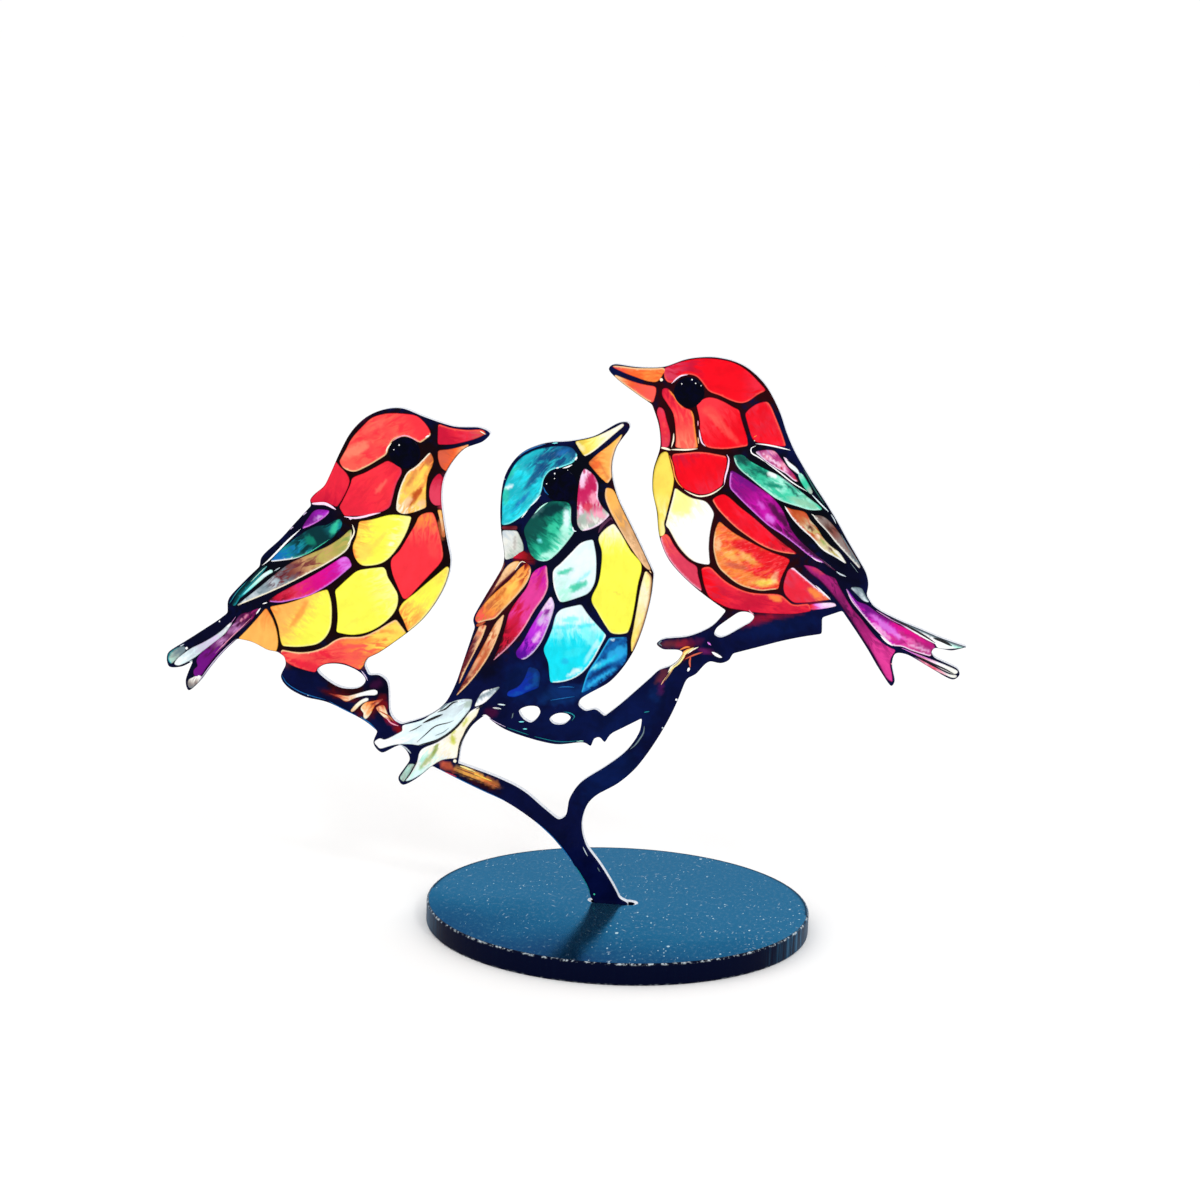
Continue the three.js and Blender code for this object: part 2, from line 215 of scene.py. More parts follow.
LEFT_BIRD = [
    # head
    Pane("-72.5,112.3 -71,115 -69.5,118 -67,121 -64.5,123.4 -61,124.6 -57,124.8 -53.5,124.4 "
         "-51.5,122.8 -50.2,121 -50,120 -52.5,118 -54,118.8 -56.3,119.4 -59,118.6 -60.4,116.4 "
         "-60.8,114.9 -63,113.2 -66,111.3 -69,110 -71.5,110.8",
         "coral coral poppy coral poppy poppy", 30, ("peach", -65),
         [(-68.4, 115.4, 4.5, 1.3, 30, "salmon", 0.85), (-64, 121.5, 4, 1, 30, "salmon", 0.35)]),
    Pane("-69.2,108.2 -66,109.8 -63,111.6 -60.5,113.1 -57.3,111.6 -57,110.6 -58.3,107.5 -59.3,103.5 "
         "-59.8,101.8 -62,100.4 -66,99.3 -71,98.9 -72.3,101 -71.5,102.5 -69.5,107",
         "crimson crimson poppy crimson", 45, ("rosered", -20),
         [(-62, 106.6, 2.2, 0.5, 50, "salmon", 0.6)]),
    Pane("-72.8,111.3 -70.5,109 -70,107.5 -71.5,103.5 -73,101 -76,102 -79.3,101.6 -80,102.6 "
         "-78.8,104.2 -76.5,106.2 -75.2,109.3 -73.6,112.4",
         "crimson crimson ruby", -100),
    Pane("-50,115.8 -53.5,112 -55.3,110.7 -56.5,108.5 -57.5,105.5 -58,102.5 -58,101 -56.5,100.3 "
         "-54,100.8 -50.7,102.2 -50.9,106 -50.5,110 -49.5,112.5 -49.2,114",
         "cream apricot gold apricot orange terracotta", 62, ("cream", 160),
         [(-53.4, 104.8, 3.2, 0.8, 56, "rust", 0.95), (-55.4, 103.4, 1.6, 0.9, 50, "peach", 0.9),
          (-51.5, 111, 2.4, 0.7, 62, "gold", 0.95), (-51.8, 103.2, 1.4, 0.8, 30, "peach", 0.8),
          (-50.6, 114, 1, 1.4, 0, "terracotta", 0.8),
          (-54.4, 109.4, 3, 0.5, 62, "terracotta", 0.6)], marble=0.12),
    Pane("-47.5,110.8 -48.8,109.5 -49.8,107 -49.6,104 -48.5,102.9 -46.9,103 -46.6,107 -46.7,109.5",
         "rosered rosered ruby", 60, marble=0.12),
    Pane("-47.8,101.8 -46.6,101.6 -46,98.5 -45.8,95 -46.5,95 -46.9,98.5",
         "apricot peach terracotta", -90, marble=0.12),
    Pane("-48.1,122.8 -45,122 -41,121.7 -37.2,121.9 -36.3,121.2 -38.5,120 -42,118.8 -45,118.1 "
         "-48.1,117.9",
         "ruby ruby crimson rosered brick", 0, ("coral", 95)),
    Pane("-48,116.3 -45,116.8 -42,117.7 -40.4,118.3 -42,116.3 -43.7,114.2 -45.6,111.3 -47,112.2 "
         "-47.8,114",
         "brick brick tangerine peach", -20, marble=0.08),
    # breast and belly
    Pane("-67.3,97.6 -64,98.3 -60,99.6 -58.5,99.8 -54.3,99.6 -55.5,95.8 -57.5,92 -60,88.8 -62,87.5 "
         "-66,86.8 -67,87.2 -68.3,89 -68.7,91.5 -68,93.5 -67.5,96",
         "orange gold lemon lemon lemon canary canary", -8, ("canary", -40),
         [(-66, 90, 2.4, 2, 50, "gold", 0.9), (-63, 92.5, 4, 0.6, 50, "gold", 0.6),
          (-59.2, 92.7, 0.8, 0.4, 20, "cream", 0.8)]),
    Pane("-61,86.6 -65,85.9 -67.5,85.2 -69.5,83.5 -73,80 -72.5,77 -72.2,73 -72.5,69.6 -69,69.2 "
         "-66,69.7 -63,71 -60,73.3 -58,75.8 -57.3,78 -57.4,80 -58.5,82 -60,84.3 -60.5,86",
         "lemon lemon lemon canary", 25, ("canary", 10),
         [(-68.8, 71.8, 2.4, 1, 40, "gold", 0.25)]),
    Pane("-49,101 -48.3,99.5 -47.3,96 -46.5,92.5 -46.3,90 -47,88.5 -49.5,85.5 -52.5,82 -55,79.2 "
         "-55.8,79 -56.3,80 -57.5,82.5 -58.7,85.5 -59,88.5 -57,91 -55,94.5 -53,98.2 -52.3,99.8 "
         "-50.5,100.8",
         "orange coral poppy poppy poppy poppy poppy", -95, ("coral", 45),
         [(-48.6, 92, 1.4, 2.6, 10, "coral", 0.35)], marble=0.08),
    Pane("-45,87.9 -46.6,86.4 -50,83.3 -53,80.5 -56,77.8 -56.8,76 -55.8,74 -54.4,70.8 -52.8,71.8 "
         "-50.8,74.2 -48,78 -45.6,82.5 -44.2,86",
         "orange gold lemon lemon gold", 55, ("butter", -35), marble=0.12),
    Pane("-89.5,74.8 -85,76 -80,78 -77,79.4 -75,80.1 -74.1,77 -73.9,73.5 -74.2,70.5 -75.3,68.2 "
         "-77.3,66.4 -80,65.6 -83,65.2 -86.2,65.2 -86.7,66.8 -87.3,70 -88.5,73",
         "orange apricot apricot gold lemon lemon lemon", -32, ("canary", -50),
         [(-82, 73.6, 4, 0.8, 60, "orange", 0.7)], marble=0.06),
    Pane("-90.5,74.4 -89,72 -88,69.5 -87.5,67 -87.5,65 -88,63.4 -90,63.4 -92.5,64.9 -95,65.8 "
         "-97.5,66.2 -95,68.9 -92.5,71.9",
         "orange apricot apricot", -100),
    Pane("-57.6,73.7 -59.5,72.5 -62.5,70.5 -66,68.8 -71,68.2 -73,67.3 -75,65.8 -78,64.4 -82,63.7 "
         "-86.5,64.1 -86.4,62.6 -84.5,60.8 -81,59.6 -77.8,59 -77,60.3 -74.6,61.6 -70.6,61.8 -66.5,60.4 "
         "-65.6,61.6 -65,63 -61,65 -57.2,68 -54.9,70.4",
         "gold gold orange coral coral crimson crimson coral", 190, ("peach", 100),
         [(-66, 63.4, 5, 1, 25, "coral", 0.6), (-67, 67.6, 6, 0.7, 8, "orange", 0.7),
          (-81, 62.6, 3.5, 1, 0, "coral", 0.7), (-79.6, 60.6, 4, 0.8, -8, "crimson", 0.7)]),
    # folded wing
    Pane("-90,76.2 -87,76.2 -83.5,77.1 -80,78.2 -77,79.9 -74,82 -69,86.5 -70,88.4 -71,88.6 -73,87.3 "
         "-77,84.5 -81,82 -85,79.7 -88,77.8",
         "maroon ruby rosered fuchsia fuchsia magenta orchid", 30, ("orchid", -55), marble=0.06),
    Pane("-98,74.6 -90,78.4 -85,81 -80,83.9 -75,86.9 -70.2,90.6 -69.3,93 -69.2,95.6 -70,95 -71.5,93.5 "
         "-75,91 -80,88.5 -84,86.4 -87.2,84 -90,81.5 -94,78",
         "mist slate mist slate oxblood brown tan olive olive moss", 32, ("cream", -60),
         [(-86.5, 83, 1.8, 0.6, 38, "maroon", 0.6)], marble=0.08),
    Pane("-89.5,86.3 -87,89.3 -84,91.8 -80.5,94.5 -78,95.8 -75.5,96.2 -73.3,97.5 -72.3,98 -71.7,97.3 "
         "-71.9,96 -72.9,94.5 -74.5,92.8 -77,91 -80,89 -83,87.6 -86,86.9",
         "azure azure teal deepteal deepteal deepteal teal", 34, ("white", 235),
         [(-79.5, 92.3, 1.6, 1.1, -30, "emerald", 0.8), (-73.4, 95.8, 2.4, 0.8, 63, "jade", 0.9)]),
    Pane("-78.3,99.8 -74.8,99.9 -75.5,98.8 -77.5,97.2 -79.5,96 -81.7,95 -81,96.3 -80,97.8",
         "purple purple violet", 30, ("orchid", -55),
         [(-77.6, 98, 1.4, 0.4, 38, "lilac", 0.7)]),
    Pane("-99.3,74.6 -97.6,78 -95,80.9 -91.6,84.6 -90.3,85.2 -92.3,82.5 -95,79.6 -97,77 -98.4,74.6",
         "deepteal deepteal deepteal", 50, ("teal", -40)),
    Pane("-97.4,76.4 -95,78.6 -92.6,80.8 -90.5,82.7 -88.8,83.8 -89.3,84.3 -91.3,83 -94,80.3 -96.3,77.8",
         "teal aqua mint ice mint", 42, marble=0.06),
    # tail
    Pane("-115.6,60.2 -115.3,61 -114.4,61.9 -113,62.9 -111.6,63.4 -110.9,62.7 -111.6,61.7 -113,60.5 "
         "-114,59.4 -114.8,58.6 -115.4,59.3",
         "mint sage slate slate", 20, ("teal", 200), marble=0.14),
    Pane("-114,58.6 -113,58.4 -111.5,59 -109.8,60 -108.3,61.1 -106.8,62.4 -105,63.8 -103,65.5 "
         "-101.5,66.9 -100.3,68.3 -99.1,70.4 -100.3,69.4 -101.8,67.9 -103.7,66.4 -105.8,65 -107.7,63.9 "
         "-109.2,63.1 -110.5,62.2 -112,61 -113.3,59.8",
         "white ice mist lilac mist white", 40, marble=0.08),
    Pane("-107.9,60.5 -107.2,61.7 -105.5,63.3 -103.4,65.2 -101.3,66.6 -99.8,68.6 -98.6,70.1 -97.8,71.4 "
         "-96.6,72.6 -95.3,72.9 -94,73.5 -92.2,74.3 -93.2,72.8 -94.6,70.8 -96.3,69.3 -98.2,67.6 "
         "-99.5,66.2 -101,64.4 -102.8,62.3 -104.3,60.2 -105.9,58.1 -107,56.3 -108,55.6 -108.8,56.2 "
         "-108.9,57.5 -107.7,58.5 -108.2,59.8",
         "purple purple purple plum mauve plum plum berry", 48, (),
         [(-99, 68.4, 1.4, 0.6, 45, "mauve", 0.7), (-96.2, 71.6, 1.6, 0.3, 42, "blush", 0.8)]),
    Pane("-110.2,54.9 -110.4,53.5 -109.8,52.6 -108.8,53.2 -107.4,54.8 -106.8,55.9 -107.8,56.3 "
         "-108.8,55.6",
         "slate taupe pearl white", 60, marble=0.14),
    # claws round the perch
    Pane("-74.5,53.9 -72.5,53.7 -70.8,53.5 -69.5,53.4 -67.5,54 -65,54.9 -62.6,55.5 -61.9,55.3 "
         "-61.9,54.6 -62.4,54.3 -65,54 -67.6,53.2 -69.4,52.2 -70,52.1 -71.3,52.9 -73,53.4",
         "maroon brick peach white white white", 10, marble=0.06),
    Pane("-68.7,49.6 -67.6,51.1 -66.4,52.3 -65.3,53 -64.4,53.4 -64,53.1 -64.4,52.6 -65.2,52.3 "
         "-66.2,51.5 -67.2,50.4 -68.1,49.5",
         "peach cream white", 50, marble=0.06),
    Pane("-66.1,50.4 -65.6,51.4 -64.6,52.2 -63.2,52.5 -61.6,53 -60.3,53.5 -61.3,52.4 -62.4,51.7 "
         "-63,50.6 -63.6,49.3 -64.8,47.8 -65.3,48.4 -65.1,49.4",
         "cream peach orange brick oxblood", 55, ("cream", 235),
         [(-65, 51, 0.8, 0.5, 40, "orange", 0.8), (-63.2, 51.6, 1.4, 0.2, 45, "maroon", 0.8)]),
    Pane("-62.3,51 -60.9,51.7 -60.2,51.8 -59.6,50.4 -58.9,48.6 -58.2,47.9 -59.8,48.6 -61,49.6",
         "brick peach cream peach brick", -60),
]

MIDDLE_BIRD = [
    # head
    Pane("-31.7,100.5 -31.6,107 -30,112 -28,115.1 -25,117.3 -21,118.6 -17,119.1 -15.2,118.8 "
         "-13.8,117.2 -14.6,115.6 -17.5,114.1 -20.3,113 -21.8,110.8 -22.5,107.5 -24.5,104.5 -27,101.5 "
         "-30,99.4 -31.8,99",
         "sea sea cyan sea sea petrol petrol", 45, ("aqua", -40),
         [(-20.5, 116.8, 4.6, 1, 22, "petrol", 0.85), (-23.4, 112.2, 4.6, 0.9, 55, "petrol", 0.8),
          (-27.4, 104.8, 4, 0.5, 50, "azure", 0.75), (-25.6, 115.6, 3.4, 0.9, 35, "sea", 0.9),
          (-29.8, 111.8, 2.6, 0.5, 50, "jade", 0.6), (-30.4, 108.4, 1.2, 0.5, 20, "ice", 0.95),
          (-31, 106, 0.9, 2.2, 0, "jade", 0.6), (-17.6, 117.6, 2, 0.6, 25, "azure", 0.8),
          (-29.6, 102, 2.2, 0.8, 45, "cyan", 0.5)], marble=0.15),
    Pane("-20.5,105.2 -23,103 -25,100.5 -26.2,98 -25.5,95.5 -24.5,92.5 -23,91 -20.5,90.8 -18.4,92.4 "
         "-17,94 -15.5,96 -13.9,98.4 -14.8,100.5 -15.2,104.8 -16.2,105.5",
         "pine pine emerald jade mint", -35, ("mint", -50),
         [(-23, 102.8, 2.2, 0.7, 45, "slate", 0.6), (-19.6, 103.4, 3.6, 1.2, 25, "deepteal", 0.9),
          (-23.4, 98.6, 2.2, 1.6, 30, "pine", 0.8), (-15.9, 101.6, 0.9, 2.4, 0, "ice", 0.95),
          (-16.3, 98.4, 1, 1.6, 20, "mint", 0.9), (-19.4, 99.2, 1.6, 0.9, 40, "jade", 0.9),
          (-21.4, 94.6, 1.6, 2, 20, "emerald", 0.8), (-19.6, 92.4, 3, 0.7, 15, "mint", 0.9),
          (-22.3, 95.8, 0.6, 0.5, 0, "aqua", 0.9)]),
    Pane("-11.9,114 -10,112.8 -8.6,110.5 -8.5,107 -7.3,104.8 -5.4,103 -7.5,100.8 -10,99.3 -12,98.7 "
         "-13,100 -13.3,104 -13.2,109 -12.6,112.5",
         "pinkwhite raspberry raspberry raspberry blush sage pearl", -76, ("pinkwhite", -40),
         [(-12.3, 110.6, 0.7, 1.6, 0, "pinkwhite", 0.9), (-10, 110.6, 1, 2.4, 15, "raspberry", 0.95),
          (-12, 107, 1, 1.6, 0, "raspberry", 0.9), (-9.4, 107, 0.8, 1.6, 10, "blush", 0.95),
          (-10.8, 104.6, 1.2, 1, 20, "rosered", 0.9), (-12.5, 103.6, 0.5, 1.2, 0, "pinkwhite", 0.9),
          (-7.6, 103, 1.3, 0.7, -30, "blush", 0.8), (-12, 101.4, 1.2, 1.3, 0, "sage", 0.9)]),
    Pane("-31.6,97.6 -28,97.7 -26.5,94.5 -26.3,92.9 -28,91.5 -30.6,90.4 -31.2,93",
         "mist pearl sage", -40, (),
         [(-28.4, 94.4, 0.3, 2.2, 0, "taupe", 0.4)], marble=0.14),
    Pane("-31.8,98.6 -28,98.9 -28,98 -31.7,97.9",
         "oxblood maroon oxblood", 0),
    Pane("-14.4,120.4 -10,121.6 -5,124.2 -2.9,125.5 -2.6,125.1 -7,121 -10,118.3 -12,117 -13.2,118.6",
         "mustard gold canary cream cream white", 38, ("cream", -50),
         [(-13, 119.2, 0.6, 1.6, 40, "cream", 0.6)], marble=0.06),
    Pane("-11,115.4 -9,117.5 -6,120 -3,122.9 -4.3,119.6 -5.1,116 -5.2,112.6 -6.2,110.7 -8,112.2",
         "terracotta orange apricot apricot gold", 5, ("peach", -10),
         [(-9.4, 115, 1.4, 1, 40, "tangerine", 0.6), (-7, 113.6, 0.5, 2.4, 30, "terracotta", 0.5)]),
    # neck and breast
    Pane("-6.5,109.6 -5,109.3 -3.5,107 -1,103 2,97.5 4.5,92 5.1,90 4,90.6 1.5,93.5 -1,97 -3.5,101 "
         "-5.5,104.5 -6.6,107.5",
         "apricot apricot tan peach tan", -60, ("peach", 200)),
    Pane("-18.6,88.5 -17,90.2 -14.5,93 -12,95.7 -9.3,96.7 -8.5,93 -8.3,89 -8.6,86 -10,83.5 -12.5,82.2 "
         "-16,80.9 -16.8,80.8 -17.5,82 -18.5,85",
         "mint ice ice ice", 50, ("white", 180),
         [(-15.8, 88.4, 2, 0.6, 22, "jade", 0.8), (-13, 84.8, 3.2, 0.9, 26, "jade", 0.85),
          (-15.5, 83.6, 1.8, 0.8, 20, "mint", 0.9), (-11.5, 87.2, 2.2, 0.4, 40, "aqua", 0.6)]),
    Pane("-7.8,97.2 -6,99.7 -4.3,100.9 -2.5,98.5 0,94.5 2.7,91.3 2,86 1.3,80 0.6,76 0,74.2 -2,73.8 "
         "-4,74 -5,75.2 -7.5,79 -9,81.8 -7.5,86 -7,89 -6.9,94",
         "cream canary lemon lemon lemon lemon lemon lemon lemon", -85, ("canary", -90),
         [(-3, 84, 0.9, 0.3, -30, "mustard", 0.4)], marble=0.04),
    Pane("-16.5,78.8 -14,79.7 -11.6,80.4 -10,78.2 -7.5,75.5 -5.2,73.2 -6.5,70.5 -8.5,66.5 -10.5,63.8 "
         "-13,61.9 -16,60.8 -18.5,60.5 -18.8,62.5 -19.2,65.5 -20.4,68.6 -19.5,71 -18.5,73.8 -17.6,77.5",
         "ice ice aqua cyan cyan cyan cyan", -88, ("ice", -35),
         [(-14, 76.6, 2.2, 0.7, 10, "aqua", 0.9), (-15.5, 74.6, 3.5, 0.6, 10, "cyan", 0.4),
          (-10.6, 75.2, 2.6, 0.5, 14, "cyan", 0.5), (-17.2, 72, 1.6, 0.6, 10, "aqua", 0.6),
          (-9, 72.5, 3, 1.6, -50, "aqua", 0.8), (-12.6, 68.5, 3, 1, 20, "aqua", 0.25),
          (-12.4, 63.6, 2.2, 0.8, 35, "ice", 0.9), (-15, 66, 1, 0.7, 0, "sky", 0.5),
          (-8.6, 69, 0.6, 3.4, -28, "ice", 0.6)], marble=0.05),
    Pane("-4.3,72.6 -0.1,73.1 -0.1,67.5 -1.6,65.2 -6,61.2 -10.8,58.3 -9.3,63.5 -7,67.5",
         "deepblue azure azure azure deepblue azure deepblue", 130, ("sky", 160),
         [(-2.6, 68.6, 3.6, 1.5, 40, "sky", 0.9), (-6.3, 66, 3.8, 0.7, 34, "sky", 0.95),
          (-5, 66.4, 3, 0.4, 36, "cyan", 0.5), (-3, 71, 3, 0.6, 40, "azure", 0.9),
          (-6.2, 64.2, 4, 0.5, 34, "deepblue", 0.9), (-6.8, 62, 5, 0.5, 37, "sky", 0.95),
          (-7.6, 65.2, 1.8, 0.3, 36, "aqua", 0.8), (-3.6, 72.3, 0.7, 0.25, 5, "ice", 1)]),
    Pane("3.9,89.8 5.2,88.6 5.3,85 4.7,80 3.8,76 2.3,72 1.3,69.4 1.1,72 1.5,75 2.3,81 3,86",
         "butter cream butter gold", -90, ("tan", 0)),
    # folded wing
    Pane("-36.4,78 -34,82 -31.8,86 -30.2,88.7 -28.5,90 -27,90.2 -27.2,89 -29.5,86.6 -32,84 -34,81.4",
         "oxblood terracotta peach peach apricot", 50, ("brown", -40), marble=0.16),
    Pane("-25.5,89.9 -24.5,89 -24.4,87.6 -25.3,85 -28,81.3 -31,77.8 -33,75.6 -35,75 -37,74.2 -37.8,75 "
         "-37,77 -34.8,80 -32,82.9 -29.2,85.6 -27.2,88.2",
         "blood orange apricot apricot orange terracotta coral", 235, ("peach", -40),
         [(-31.5, 82, 2.4, 0.5, 50, "rust", 0.6), (-34.2, 79, 1.6, 0.5, 55, "terracotta", 0.8),
          (-29, 83.6, 2.6, 0.8, 50, "gold", 0.5)], marble=0.12),
    Pane("-29,91 -27.3,92.6 -26.2,92.9 -25,92 -23.3,90.9 -24.5,90.6 -26.5,90.8",
         "ruby blood maroon", 0),
    Pane("-20.5,89.7 -23,88.3 -24,87 -25,84 -28,79.5 -29.3,77 -30,74 -31.5,68.5 -33,65 -29,69 -26,73 "
         "-23,78.5 -20.8,82 -20,84.5 -20.3,88",
         "magenta rose rose rose ruby ruby maroon lead_red", 237, ("blush", -25),
         [(-22, 86, 0.6, 3, -15, "raspberry", 0.6), (-24.6, 80.4, 0.7, 3, -30, "rose", 0.8),
          (-28, 75, 1.2, 3.4, -28, "ruby", 0.7)]),
    Pane("-19.1,82 -21,79 -23.5,74.5 -26,69.5 -27.3,67.5 -27,66.3 -25.7,65.8 -24,66.8 -21.5,70 "
         "-19.8,74 -18.6,78 -18.3,80",
         "pinkwhite lilac orchid violet violet grape grape", 240, ("lilac", -25),
         [(-20, 78, 1.5, 0.35, 55, "purple", 0.9), (-21.6, 75.6, 0.9, 1.2, -30, "lilac", 0.8),
          (-24, 73, 1, 2, -30, "violet", 0.9), (-22.3, 71.6, 0.6, 1.6, -28, "pinkwhite", 0.8)]),
    Pane("-30.6,76.8 -32.5,74.5 -35,69.5 -38,63.5 -42,55.5 -39,58.8 -36,63 -33.5,67.5 -31.5,73",
         "peach peach terracotta brick terracotta brown maroon", 240, ("peach", -30),
         [(-37.2, 64, 0.5, 4, -30, "peach", 0.6)], marble=0.12),
    Pane("-34.9,73.8 -36,70.5 -37.7,66.8 -39.8,62.3 -41.4,58.5 -41,62.6 -39.2,67 -37.6,71 -36.5,73.6",
         "brick peach oxblood maroon oxblood maroon", 245, ("peach", -20)),
    Pane("-35,74.8 -37,74.1 -37.6,73.4 -36.6,73.4",
         "brick rust", 200, marble=0.2),
    # belly
    Pane("-24,64 -22,63.5 -21.2,62 -21.5,59 -24,57.8 -27.5,56.2 -29.3,56.4 -29,57.3 -26.5,58.8 -25,61",
         "cobalt cobalt deepblue", 30, (),
         [(-27, 57, 2, 0.5, 15, "azure", 0.4), (-22.2, 61, 0.7, 2, 0, "azure", 0.4),
          (-23.8, 59, 2, 0.4, 30, "azure", 0.5)]),
    # tail
    Pane("-62.5,42.2 -61,43.3 -60,42.9 -55.2,45.5 -55.4,46.9 -50,48.8 -46.5,51.8 -41,54.5 -38,54.8 "
         "-38.5,52.5 -40,50.2 -43,46.5 -46,44.2 -51,42.3 -53,42.4 -57,42 -61,40.6",
         "white white ice ice ice ice mist", 33, ("white", 190),
         [(-43.8, 52, 4, 0.7, 40, "mist", 0.5), (-47, 49.2, 5, 0.4, 25, "mist", 0.5),
          (-39, 53.6, 1.2, 0.8, 40, "sage", 0.8)]),
    Pane("-36,53.2 -37,50.5 -39,47.5 -40,44.8 -41,41.5 -41.4,39.7 -45,39 -47,37.8 -50,35.2 -53,33.2 "
         "-54.4,32.7 -51.5,37.5 -50.5,40.9 -46,43.5 -42,47.5 -38.5,51.5",
         "ice mint white cream cream cream cream", 50, ("white", 110),
         [(-42.4, 47.2, 0.5, 1.5, -15, "lime", 0.9), (-42.5, 44.2, 0.6, 1.1, 10, "lime", 0.9),
          (-46.8, 41.6, 0.5, 2.2, -15, "moss", 0.9), (-49, 38.4, 0.6, 3.4, -40, "moss", 0.65),
          (-39.6, 49, 0.5, 1.4, -30, "lime", 0.7)]),
    Pane("-55.8,33.4 -53.4,37.2 -52,37.2 -53.4,34.8 -54.8,32.5",
         "sage mint sage", 60, marble=0.2),
    Pane("-31.1,58.5 -33,57.8 -35.3,56.9 -36.5,55 -37.3,53 -35,54.2",
         "white slate mist white white", -60),
]

